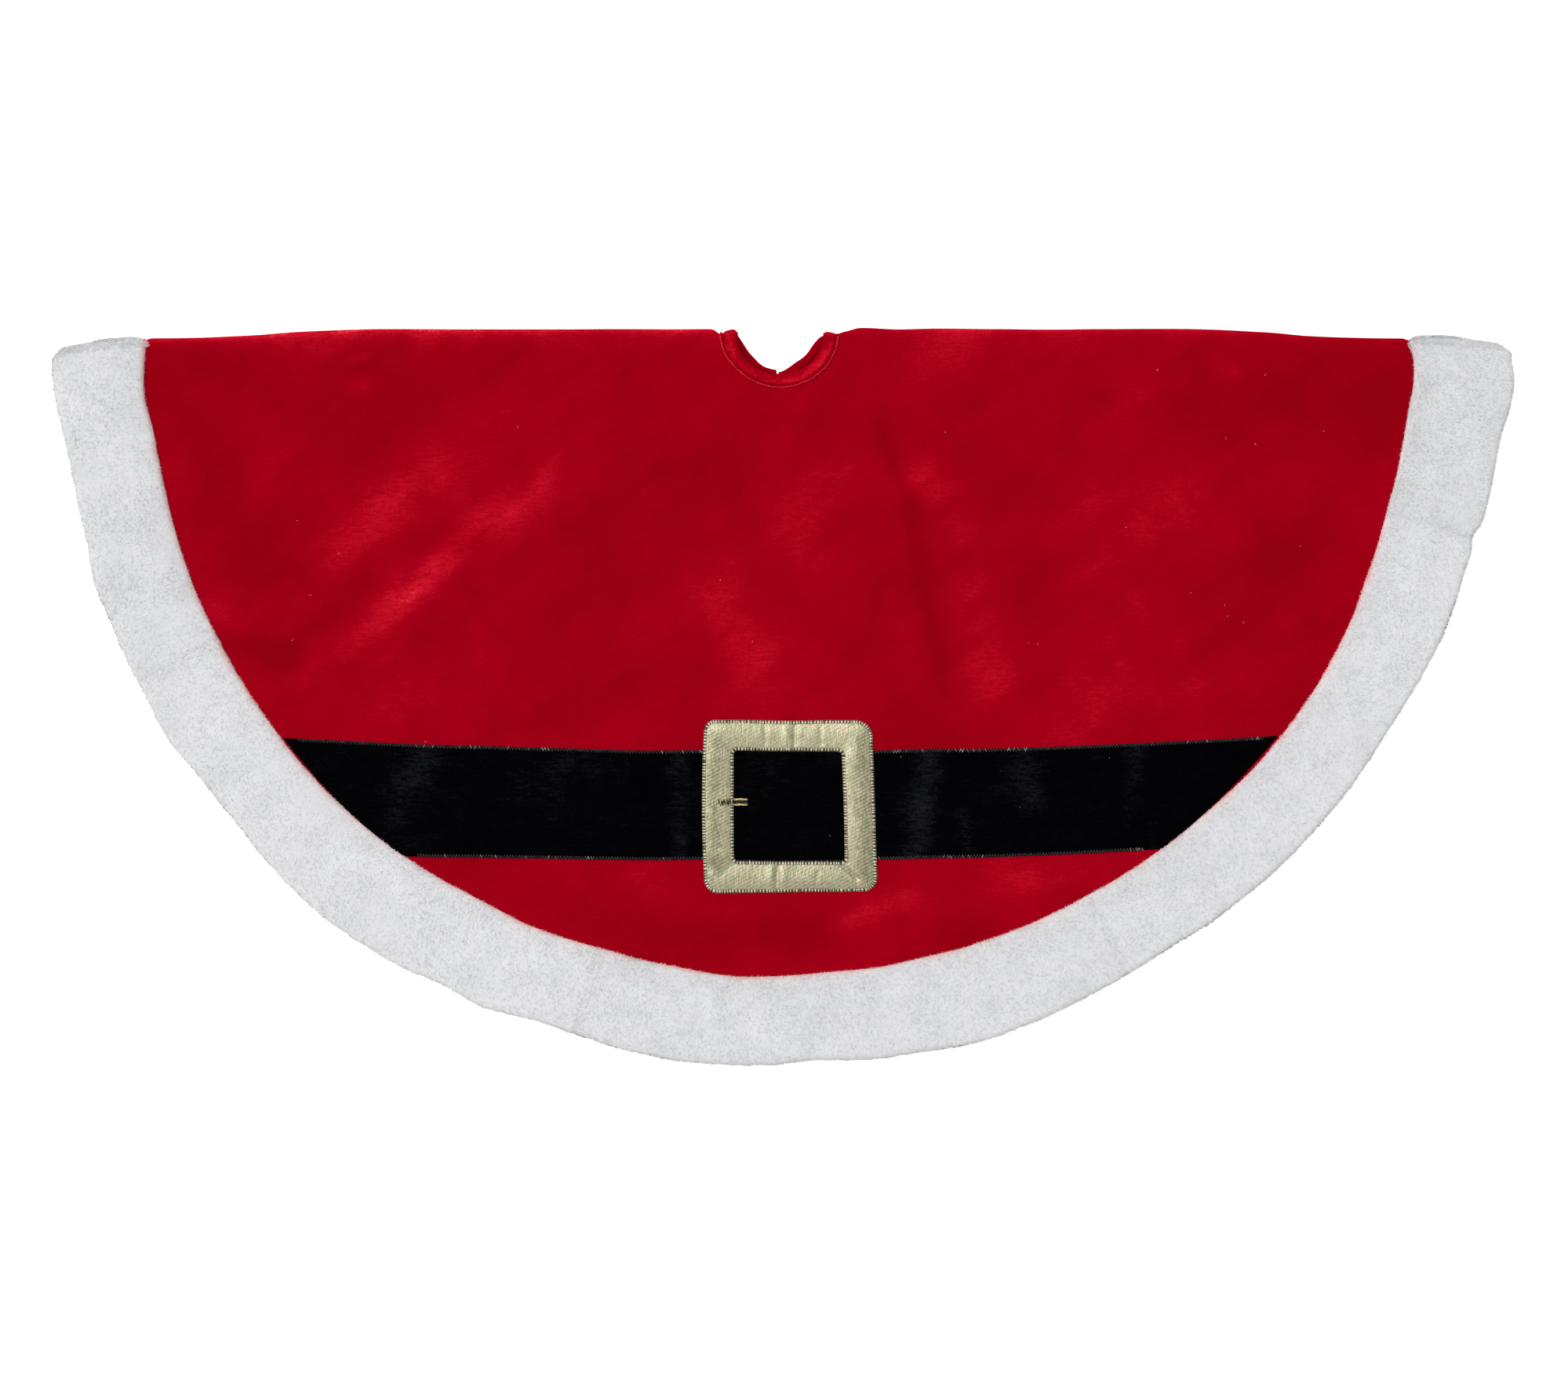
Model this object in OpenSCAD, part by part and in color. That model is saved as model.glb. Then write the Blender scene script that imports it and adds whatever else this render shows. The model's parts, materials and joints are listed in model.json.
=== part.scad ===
// Round tree skirt with a stitched belt and buckle, lying folded in half.
// The X axis is the fold: the front half lies on top of two back wings that meet at the slit.

/* [Skirt] */
// Diameter over the plush trim when the skirt is opened flat
skirt_d = 1219; // [900:1:1500]
// Radius of the opening for the trunk, inside the collar
trunk_r = 36; // [25:0.5:60]
// Width of each back wing's clearance from the middle of the slit
slit_gap = 1; // [0.5:0.1:3]
// Clearance of each half from the fold line
fold_gap = 0.3; // [0.2:0.1:1]

/* [Layers] */
// Thickness of the velvet face
velvet_t = 1.5; // [0.8:0.1:2]
// Thickness of the interlining behind the velvet
interlining_t = 1.2; // [0.5:0.1:2]
// Thickness of the lining
lining_t = 0.8; // [0.4:0.1:1.2]
// Height of the lining's underside above the middle of the folded pile
lining_z = 2; // [1.8:0.1:3]

/* [Plush trim] */
// Width of the plush band
trim_w = 76; // [50:1:110]
// Thickness of the plush band in each half
trim_t = 9.7; // [8:0.1:12]
// Half of the gap between the plush bands of the two halves
trim_gap = 0.15; // [0.1:0.05:0.5]
// Angle of the first plush seam from the left end of the fold
first_seam = 28.5; // [10:0.5:40]
// Angle between plush seams
seam_step = 45; // [45]
// How far the velvet reaches into the plush band
seam_allowance = 10; // [6:1:14]

/* [Collar] */
// Width of the collar binding
collar_w = 13; // [10:0.5:20]
// Thickness of the collar binding over the velvet
collar_t = 1.5; // [1:0.1:2]
// Thickness of the collar binding under the lining
collar_under_t = 1.2; // [0.8:0.1:1.4]
// Width and height of the stitched ridge at the collar's outer edge
ridge = 1; // [0.6:0.1:1.6]

/* [Belt and buckle] */
// Distance of the belt's centre line from the fold
belt_y = 394; // [300:1:440]
// Width of the belt
belt_w = 90; // [60:1:120]
// Thickness of the belt
belt_t = 1.2; // [0.8:0.1:1.2]
// Width of the zigzag stitching along each belt edge
stitching_w = 3; // [2:0.5:5]
// Height of the zigzag stitching
stitching_t = 0.5; // [0.3:0.1:0.8]
// Sideways place of the buckle's centre
buckle_x = 7; // [-20:1:20]
// Outer size of the square buckle over its satin stitching
buckle_size = 146; // [120:1:180]
// Opening of the square buckle inside its satin stitching
buckle_opening = 92.5; // [70:0.5:100]
// Width of the satin stitching around the buckle
edging_w = 3; // [2:0.5:4]
// Height of the satin stitching above the velvet
edging_t = 3; // [2.4:0.1:4]
// Height of the padded buckle above the velvet
buckle_t = 4.5; // [3.5:0.1:6]
// Thickness of the buckle's metallic cloth over its wadding
lame_t = 0.8; // [0.5:0.1:1]
// Radius of the buckle's outer corners
buckle_corner = 11; // [6:1:16]
// Length of the stitched buckle tongue
tongue_l = 24; // [16:1:30]
// Width of the stitched buckle tongue
tongue_w = 6.5; // [4:0.5:9]
// Height of the stitched tongue above the buckle's cloth
tongue_t = 1; // [0.6:0.1:1.5]

/* [Slit closure] */
// Width of the facing along each slit edge
facing_w = 25; // [18:1:35]
// Thickness of the facing
facing_t = 0.8; // [0.5:0.1:0.8]
// Length and width of each hook or loop patch
patch_size = [20, 32]; // [15:1:40]
// Thickness of each hook or loop patch
patch_t = 0.9; // [0.6:0.1:0.9]

/* [Hidden] */
$fn = 96;

skirt_r = skirt_d / 2;
trim_inner_r = skirt_r - trim_w;
panel_r = trim_inner_r + seam_allowance;
collar_r = trunk_r + collar_w;
collar_wall_t = 2;
interlining_z = lining_z + lining_t;
velvet_z = interlining_z + interlining_t;
face_z = velvet_z + velvet_t;
belt_top_z = face_z + belt_t;
slot_clearance = 0.1;
buckle_top_z = face_z + buckle_t;
opening_corner = 4;
patch_radii = [110, 260, 410];
space = 2 * skirt_r;

// Angles of the plush seams, from the +X axis, with the skirt opened flat
front_seams = [for (i = [0:3]) 180 + first_seam + i * seam_step];
right_seams = [for (i = [0:1]) front_seams[3] + (i + 1) * seam_step - 360];
left_seams = [for (i = [2:3]) right_seams[0] + i * seam_step];

module front_space() {
    translate([-space, -2 * space - fold_gap, -space]) cube(2 * space);
}

// Room of a wing in the opened skirt, with side = 1 on the right and -1 on the left
module wing_space(side) {
    translate([side * (space + slit_gap) - space, fold_gap, -space]) cube(2 * space);
}

// Turns a wing drawn in the opened skirt under the front half
module folded_under() {
    rotate([180, 0, 0]) children();
}

module sector(r1, r2, z, t, from, to) {
    rotate([0, 0, from]) rotate_extrude(angle = to - from) translate([r1, z]) square([r2 - r1, t]);
}

module front_layer(r1, r2, z, t) {
    intersection() {
        sector(r1, r2, z, t, 180, 360);
        front_space();
    }
}

module wing_layer(side, r1, r2, z, t) {
    from = side > 0 ? 0 : 90;
    folded_under() intersection() {
        sector(r1, r2, z, t, from, from + 90);
        wing_space(side);
    }
}

// Section of the plush band: a flat roll with a slot for the velvet and the belt's ends
module trim_section() {
    round_r = trim_t / 2;
    mid_z = trim_gap + round_r;
    slot_h = belt_top_z + stitching_t - lining_z + 2 * slot_clearance;
    difference() {
        union() {
            translate([trim_inner_r + round_r, mid_z]) circle(round_r);
            translate([skirt_r - round_r, mid_z]) circle(round_r);
            translate([trim_inner_r + round_r, trim_gap]) square([trim_w - trim_t, trim_t]);
        }
        translate([trim_inner_r - 1, lining_z - slot_clearance]) square([seam_allowance + 1.2, slot_h]);
    }
}

module trim_sector(from, to) {
    rotate([0, 0, from]) rotate_extrude(angle = to - from) trim_section();
}

module front_trim(from, to) {
    color("whitesmoke") intersection() {
        trim_sector(from, to);
        front_space();
    }
}

module wing_trim(side, from, to) {
    color("whitesmoke") folded_under() intersection() {
        trim_sector(from, to);
        wing_space(side);
    }
}

// Section of the collar binding: it wraps the velvet's inner edge
module collar_section() {
    under_z = lining_z - collar_under_t;
    translate([trunk_r, face_z]) square([collar_w, collar_t]);
    translate([trunk_r, under_z]) square([collar_wall_t, face_z + collar_t - under_z]);
    translate([trunk_r, under_z]) square([collar_w, collar_under_t]);
}

module collar_sector(from, to) {
    rotate([0, 0, from]) rotate_extrude(angle = to - from) collar_section();
}

module rounded_prism(size, corner, z, t) {
    flat = size - 2 * corner;
    half = flat / 2;
    translate([buckle_x, -belt_y, z]) {
        translate([-size / 2, -half, 0]) cube([size, flat, t]);
        translate([-half, -size / 2, 0]) cube([flat, size, t]);
        for (x = [-half, half], y = [-half, half]) translate([x, y, 0]) cylinder(r = corner, h = t);
    }
}

module square_ring(outer, outer_corner, inner, inner_corner, z, t) {
    difference() {
        rounded_prism(outer, outer_corner, z, t);
        rounded_prism(inner, inner_corner, z - 1, t + 2);
    }
}

module belt_strip(y_from, y_to, z, t) {
    intersection() {
        translate([-skirt_r, -y_to, z]) cube([2 * skirt_r, y_to - y_from, t]);
        translate([0, 0, z]) cylinder(r = panel_r - 1, h = t, $fn = 180);
    }
}

module stitching(y_edge) {
    belt_strip(y_edge - stitching_w / 2, y_edge + stitching_w / 2, belt_top_z, stitching_t);
}

// The belt's stitching straddles its edges, so it laps down onto the velvet beside them
module belt_edge_stitching(side) {
    y_edge = belt_y + side * belt_w / 2;
    stitching(y_edge);
    y_velvet = side > 0 ? y_edge : y_edge - stitching_w / 2;
    belt_strip(y_velvet, y_velvet + stitching_w / 2, face_z, belt_t);
}

// Everything of the belt that lies under the buckle
module belt_under_buckle() {
    belt_strip(belt_y - belt_w / 2, belt_y + belt_w / 2, face_z - 1, belt_t + 1);
    for (side = [-1, 1]) belt_edge_stitching(side);
}

module front_velvet() {
    color("firebrick") front_layer(trunk_r + collar_wall_t, panel_r, velvet_z, velvet_t);
}

module front_interlining() {
    color("gainsboro") front_layer(trunk_r + collar_wall_t, panel_r, interlining_z, interlining_t);
}

module front_lining() {
    color("brown") front_layer(trunk_r + collar_wall_t, panel_r, lining_z, lining_t);
}

module front_collar_binding() {
    color("darkred") intersection() {
        collar_sector(180, 360);
        front_space();
    }
}

module front_collar_topstitch() {
    color("indianred") front_layer(collar_r - 2 * ridge, collar_r - ridge, face_z + collar_t, ridge / 2);
}

module belt_band() {
    color("black") belt_strip(belt_y - belt_w / 2, belt_y + belt_w / 2, face_z, belt_t);
}

module belt_top_stitching() {
    color("silver") belt_edge_stitching(-1);
}

module belt_bottom_stitching() {
    color("silver") belt_edge_stitching(1);
}

module wadding_shape() {
    outer = buckle_size - 2 * (edging_w + lame_t);
    inner = buckle_opening + 2 * (edging_w + lame_t);
    wadding_z = belt_top_z + stitching_t;
    height = buckle_top_z - lame_t - wadding_z;
    square_ring(outer, buckle_corner - edging_w, inner, opening_corner + edging_w, wadding_z, height);
}

module buckle_cloth() {
    outer = buckle_size - 2 * edging_w;
    inner = buckle_opening + 2 * edging_w;
    color("darkkhaki") difference() {
        square_ring(outer, buckle_corner - edging_w, inner, opening_corner + edging_w, face_z, buckle_t);
        belt_under_buckle();
        wadding_shape();
    }
}

module buckle_wadding() {
    color("white") wadding_shape();
}

module buckle_outer_edging() {
    inner = buckle_size - 2 * edging_w;
    color("khaki") difference() {
        square_ring(buckle_size, buckle_corner, inner, buckle_corner - edging_w, face_z, edging_t);
        belt_under_buckle();
    }
}

module inner_edging_shape() {
    outer = buckle_opening + 2 * edging_w;
    difference() {
        square_ring(outer, opening_corner + edging_w, buckle_opening, opening_corner, face_z, edging_t);
        belt_under_buckle();
    }
}

module buckle_inner_edging() {
    color("khaki") inner_edging_shape();
}

// The tongue starts on the left side of the buckle and ends inside its opening
module buckle_tongue() {
    opening_left = buckle_x - buckle_opening / 2;
    tip = opening_left + tongue_l / 2;
    band_inner = opening_left - edging_w;
    top_z = buckle_top_z + tongue_t;
    edging_top_z = face_z + edging_t;
    y = -belt_y - tongue_w / 2;
    color("goldenrod") union() {
        translate([tip - tongue_l, y, buckle_top_z]) cube([tongue_l, tongue_w, tongue_t]);
        translate([band_inner, y, edging_top_z]) cube([tip - band_inner, tongue_w, top_z - edging_top_z]);
        translate([opening_left, y, belt_top_z]) cube([tip - opening_left, tongue_w, top_z - belt_top_z]);
    }
}

module wing_velvet(side) {
    color("firebrick") wing_layer(side, trunk_r + collar_wall_t, panel_r, velvet_z, velvet_t);
}

module wing_interlining(side) {
    color("gainsboro") wing_layer(side, trunk_r + collar_wall_t, panel_r, interlining_z, interlining_t);
}

module wing_lining(side) {
    color("brown") wing_layer(side, trunk_r + collar_wall_t, panel_r, lining_z, lining_t);
}

// The velvet's bend round the fold line, from the front half's face to the wing's face
module velvet_fold(side) {
    length = trim_inner_r - collar_r;
    color("crimson") translate([side > 0 ? collar_r : -trim_inner_r, 0, 0]) difference() {
        rotate([0, 90, 0]) cylinder(r = face_z, h = length);
        translate([-1, 0, 0]) rotate([0, 90, 0]) cylinder(r = velvet_z, h = length + 2);
        translate([-1, -2 * face_z - fold_gap, -face_z]) cube([length + 2, 2 * face_z, 2 * face_z]);
    }
}

module wing_collar_binding(side) {
    from = side > 0 ? 0 : 90;
    color("darkred") folded_under() intersection() {
        collar_sector(from, from + 90);
        wing_space(side);
    }
}

module wing_collar_topstitch(side) {
    ridge_r = collar_r - 2 * ridge;
    color("indianred") wing_layer(side, ridge_r, ridge_r + ridge, face_z + collar_t, ridge / 2);
}

module wing_slit_facing(side) {
    length = trim_inner_r - collar_r;
    x = side > 0 ? slit_gap : -slit_gap - facing_w;
    color("brown") folded_under()
        translate([x, collar_r, lining_z - facing_t]) cube([facing_w, length - seam_allowance, facing_t]);
}

module wing_patches(side, z) {
    x = side * (slit_gap + facing_w / 2) - patch_size[0] / 2;
    folded_under() for (r = patch_radii) {
        translate([x, r - patch_size[1] / 2, z]) cube([patch_size[0], patch_size[1], patch_t]);
    }
}

module hook_patches(side) {
    color("dimgray") wing_patches(side, lining_z - facing_t - patch_t);
}

module loop_patches(side) {
    color("dimgray") wing_patches(side, face_z);
}

front_velvet();
front_interlining();
front_lining();
front_trim(180, front_seams[0]);  // front_trim_left_end
front_trim(front_seams[0], front_seams[1]);  // front_trim_left
front_trim(front_seams[1], front_seams[2]);  // front_trim_centre
front_trim(front_seams[2], front_seams[3]);  // front_trim_right
front_trim(front_seams[3], 360);  // front_trim_right_end
front_collar_binding();
front_collar_topstitch();
belt_band();
belt_top_stitching();
belt_bottom_stitching();
buckle_cloth();
buckle_wadding();
buckle_outer_edging();
buckle_inner_edging();
buckle_tongue();
wing_velvet(-1);  // left_wing_velvet
wing_interlining(-1);  // left_wing_interlining
wing_lining(-1);  // left_wing_lining
velvet_fold(-1);  // left_wing_velvet_fold
wing_trim(-1, left_seams[1], 180);  // left_wing_trim_fold_end
wing_trim(-1, left_seams[0], left_seams[1]);  // left_wing_trim
wing_trim(-1, 90, left_seams[0]);  // left_wing_trim_slit_end
wing_collar_binding(-1);  // left_wing_collar_binding
wing_collar_topstitch(-1);  // left_wing_collar_topstitch
wing_slit_facing(-1);  // left_wing_slit_facing
hook_patches(-1);  // left_wing_hook_patches
wing_velvet(1);  // right_wing_velvet
wing_interlining(1);  // right_wing_interlining
wing_lining(1);  // right_wing_lining
velvet_fold(1);  // right_wing_velvet_fold
wing_trim(1, 0, right_seams[0]);  // right_wing_trim_fold_end
wing_trim(1, right_seams[0], right_seams[1]);  // right_wing_trim
wing_trim(1, right_seams[1], 90);  // right_wing_trim_slit_end
wing_collar_binding(1);  // right_wing_collar_binding
wing_collar_topstitch(1);  // right_wing_collar_topstitch
wing_slit_facing(1);  // right_wing_slit_facing
loop_patches(1);  // right_wing_loop_patches
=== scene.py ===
"""Round tree skirt with a belt and a padded buckle, lying folded in half with its face up.

The fold is the X axis. The front half reaches to -Y, and the two back wings lie below it. A wing is
drawn as it lies when the skirt is opened flat (at +Y), then turned half round the X axis into place.
"""
import json
import math

import bpy
import numpy as np
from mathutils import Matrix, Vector


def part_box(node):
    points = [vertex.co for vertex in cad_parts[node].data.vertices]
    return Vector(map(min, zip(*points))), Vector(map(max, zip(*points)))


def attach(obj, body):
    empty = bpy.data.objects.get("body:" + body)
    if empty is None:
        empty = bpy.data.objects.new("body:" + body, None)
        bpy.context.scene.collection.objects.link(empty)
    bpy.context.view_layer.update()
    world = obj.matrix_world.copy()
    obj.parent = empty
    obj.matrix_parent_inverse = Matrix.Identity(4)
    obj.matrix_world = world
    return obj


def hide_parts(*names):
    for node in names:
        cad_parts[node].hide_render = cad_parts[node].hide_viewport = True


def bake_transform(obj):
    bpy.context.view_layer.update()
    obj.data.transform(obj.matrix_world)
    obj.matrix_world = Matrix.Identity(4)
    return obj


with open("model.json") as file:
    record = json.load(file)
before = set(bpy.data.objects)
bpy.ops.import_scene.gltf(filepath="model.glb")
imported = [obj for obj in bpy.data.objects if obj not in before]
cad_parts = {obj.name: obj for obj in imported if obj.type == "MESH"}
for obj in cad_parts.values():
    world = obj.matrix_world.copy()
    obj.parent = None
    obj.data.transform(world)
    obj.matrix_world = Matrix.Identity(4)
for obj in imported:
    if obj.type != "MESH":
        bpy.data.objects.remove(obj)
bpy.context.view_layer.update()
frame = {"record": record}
rng = np.random.default_rng(7)

MM = 0.001
SIDES = {"left": -1, "right": 1}
# The angles that each part covers on the opened skirt, in degrees from +X
SPANS = {"front": (180, 360), "left": (90, 180), "right": (0, 90)}
NOISE_SEED = {"front": 3, "left": 5, "right": 9}

# Sizes that the frame gives, in metres
fold_low, fold_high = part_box("left_wing_velvet_fold")
PANEL_R = -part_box("front_velvet")[0].x
SKIRT_R = -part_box("front_trim_left_end")[0].x
TRIM_R = -fold_low.x
COLLAR_R = -fold_high.x
FACE_Z = fold_high.z
TRIM_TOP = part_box("front_trim_centre")[1].z
TRIM_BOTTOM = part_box("front_trim_centre")[0].z
COLLAR_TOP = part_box("front_collar_binding")[1].z
COLLAR_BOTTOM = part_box("front_collar_binding")[0].z
TRUNK_R = next(m["dims"]["r_mm"] for m in frame["record"]["mounts"] if m["name"] == "trunk_opening") * MM
SLIT = -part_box("left_wing_velvet")[1].x
belt_low, belt_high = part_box("belt_band")
BELT_Y = (belt_low.y + belt_high.y) / 2
BELT_W = belt_high.y - belt_low.y
buckle_low, buckle_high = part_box("buckle_outer_edging")
BUCKLE_X = (buckle_low.x + buckle_high.x) / 2
BUCKLE_Y = (buckle_low.y + buckle_high.y) / 2
BUCKLE_HALF = (buckle_high.x - buckle_low.x) / 2
tongue_low, tongue_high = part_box("buckle_tongue")

# Sizes that the cloth adds, in metres
TRIM_W = SKIRT_R - TRIM_R
PANEL_INNER_R = TRUNK_R + 2.0 * MM
BUCKLE_OPENING_HALF = 46.2 * MM
EDGING_W = 2.8 * MM
VELVET_T = 1.2 * MM
INTERLINING_T = 0.9 * MM
LINING_T = 0.5 * MM
INTERLINING_DEPTH = VELVET_T + 0.15 * MM
LINING_DEPTH = VELVET_T + INTERLINING_T + 0.4 * MM
BEND = FACE_Z
FOLD_MARGIN = 5.0 * MM


# ---------------------------------------------------------------- numbers and noise

def smooth(x):
    x = np.clip(x, 0, 1)
    return x * x * (3 - 2 * x)


def lattice(ix, iy, iz, seed):
    """A fixed random number from -1 to 1 for each cell of a whole-number grid."""
    h = ix * 374761393 + iy * 668265263 + iz * 2147483629 + seed * 974634777
    h = ((h & 0xFFFFFFFF) ^ ((h & 0xFFFFFFFF) >> 13)) * 1274126177
    h = (h & 0xFFFFFFFF) ^ ((h & 0xFFFFFFFF) >> 16)
    return h / 2147483648.0 - 1


def noise(p, size, seed):
    """Smooth noise from -1 to 1 at points p (last axis xyz), with bumps about size metres wide."""
    q = np.asarray(p) / size
    cell = np.floor(q).astype(np.int64)
    f = q - cell
    f = f * f * f * (f * (f * 6 - 15) + 10)
    total = 0
    for dx, dy, dz in np.ndindex(2, 2, 2):
        weight = ((f[..., 0] if dx else 1 - f[..., 0]) * (f[..., 1] if dy else 1 - f[..., 1])
                  * (f[..., 2] if dz else 1 - f[..., 2]))
        corner = lattice(cell[..., 0] + dx, cell[..., 1] + dy, cell[..., 2] + dz, seed)
        total = total + weight * corner
    return total


def fractal(p, size, seed, octaves=3, gain=0.5):
    return sum(gain ** k * noise(p, size / 2 ** k, seed + 17 * k) for k in range(octaves))


def hump(x, at, width):
    """1 where x is at, falling off smoothly over width to either side."""
    return np.exp(-((x - at) / width) ** 2)


def xyz(x, y, z):
    """Points from three coordinates, which may be numbers or arrays of any matching shapes."""
    return np.stack(np.broadcast_arrays(x, y, z), axis=-1)


def flat_points(x, y):
    return xyz(x, y, 0.0)


def streak(x, y, start, end, width):
    """1 on the line from start to end, falling off smoothly over width to either side and past its ends."""
    start, end = np.array(start), np.array(end)
    along = end - start
    length = np.linalg.norm(along)
    along = along / length
    dx, dy = x - start[0], y - start[1]
    t = dx * along[0] + dy * along[1]
    across = dy * along[0] - dx * along[1]
    past = np.clip(-t, 0, None) + np.clip(t - length, 0, None)
    return np.exp(-(across / width) ** 2 - (past / width) ** 2)


# ---------------------------------------------------------------- meshes

def build(name, points, faces, material, attributes=None, sharp=50):
    """A smooth-shaded mesh object. faces is a list of whole-number arrays, one row per face."""
    points = np.asarray(points, dtype=np.float32)
    counts = np.concatenate([np.full(len(f), f.shape[1]) for f in faces]).astype(np.int32)
    corners = np.concatenate([np.asarray(f).ravel() for f in faces]).astype(np.int32)
    mesh = bpy.data.meshes.new(name)
    mesh.vertices.add(len(points))
    mesh.vertices.foreach_set("co", points.ravel())
    mesh.loops.add(len(corners))
    mesh.loops.foreach_set("vertex_index", corners)
    mesh.polygons.add(len(counts))
    mesh.polygons.foreach_set("loop_start", np.concatenate([[0], np.cumsum(counts)[:-1]]).astype(np.int32))
    mesh.polygons.foreach_set("loop_total", counts)
    mesh.update(calc_edges=True)
    mesh.polygons.foreach_set("use_smooth", np.ones(len(counts), dtype=bool))
    for key, values in (attributes or {}).items():
        data = mesh.attributes.new(key, "FLOAT", "POINT")
        data.data.foreach_set("value", np.asarray(values, dtype=np.float32))
    mesh.set_sharp_from_angle(angle=math.radians(sharp))
    mesh.materials.append(material)
    obj = bpy.data.objects.new(name, mesh)
    bpy.context.scene.collection.objects.link(obj)
    return obj


def grid_faces(rows, cols, around=False):
    """Quads of a rows x cols grid of points; around joins the last column to the first."""
    r, c = np.meshgrid(np.arange(rows - 1), np.arange(cols if around else cols - 1), indexing="ij")
    n = (c + 1) % cols
    quads = np.stack([r * cols + c, r * cols + n, (r + 1) * cols + n, (r + 1) * cols + c], axis=-1)
    return quads.reshape(-1, 4)


def facing_out(points, faces):
    """The same faces of a closed shape, turned round if they face inwards."""
    volume = 0.0
    centre = points.mean(axis=0)
    for group in faces:
        corners = points[group] - centre
        for k in range(1, group.shape[1] - 1):
            volume += np.einsum("ij,ij->", corners[:, 0], np.cross(corners[:, k], corners[:, k + 1]))
    return faces if volume > 0 else [group[:, ::-1] for group in faces]


class Parts:
    """Collects points, faces and one value per point, to join many small shapes into one mesh."""

    def __init__(self):
        self.points, self.faces, self.values, self.count = [], [], [], 0

    def add(self, points, faces, value):
        points = np.asarray(points).reshape(-1, 3)
        self.faces.append(np.asarray(faces) + self.count)
        self.points.append(points)
        self.values.append(np.broadcast_to(value, len(points)))
        self.count += len(points)

    def build(self, name, material, sharp=50):
        """The joined mesh. Its values become the tone attribute."""
        return build(name, np.concatenate(self.points), self.faces, material,
                     {"tone": np.concatenate(self.values)}, sharp)


def sheet_faces(rows, cols):
    """Faces of two grids of points, one over the other: both sides, and the walls round their edge."""
    count = rows * cols
    index = np.arange(count).reshape(rows, cols)
    ring = np.concatenate([index[0], index[1:, -1], index[-1, -2::-1], index[-2:0:-1, 0]])
    following = np.roll(ring, -1)
    walls = np.stack([following, ring, ring + count, following + count], axis=-1)
    quads = grid_faces(rows, cols)
    return [quads, quads[:, ::-1] + count, walls]


def closed_sheet(name, top, under, material, attributes=None):
    """A sheet between two grids of points with the same rows and columns, closed round its edge."""
    points = np.concatenate([top.reshape(-1, 3), under.reshape(-1, 3)])
    faces = facing_out(points, sheet_faces(*top.shape[:2]))
    doubled = {key: np.tile(np.asarray(v).reshape(-1), 2) for key, v in (attributes or {}).items()}
    return build(name, points, faces, material, doubled)


def closed_roll(grid):
    """Points and faces of a roll with capped ends. The grid's rows go round it, its columns along it."""
    rows, cols = grid.shape[:2]
    points = np.swapaxes(grid, 0, 1).reshape(-1, 3)
    cap = np.arange(rows)[None, :]
    sides = grid_faces(cols, rows, around=True)[:, ::-1]
    return points, facing_out(points, [sides, cap, cap[:, ::-1] + (cols - 1) * rows])


# ---------------------------------------------------------------- bodies and CAD nodes

def body_of(part):
    return "front_half" if part == "front" else "back_" + part + "_wing"


def node_of(part, layer):
    return ("front_" if part == "front" else part + "_wing_") + layer


def fasten(made, part, node):
    """Rides a piece on a part's body, in place of a CAD node."""
    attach(made, body_of(part))
    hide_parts(node)
    return made


def bend_round_fold(made):
    """Bakes a piece's transform into its mesh; the piece keeps the shape it was built with round the fold.
    """
    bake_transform(made)


# ---------------------------------------------------------------- materials

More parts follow.
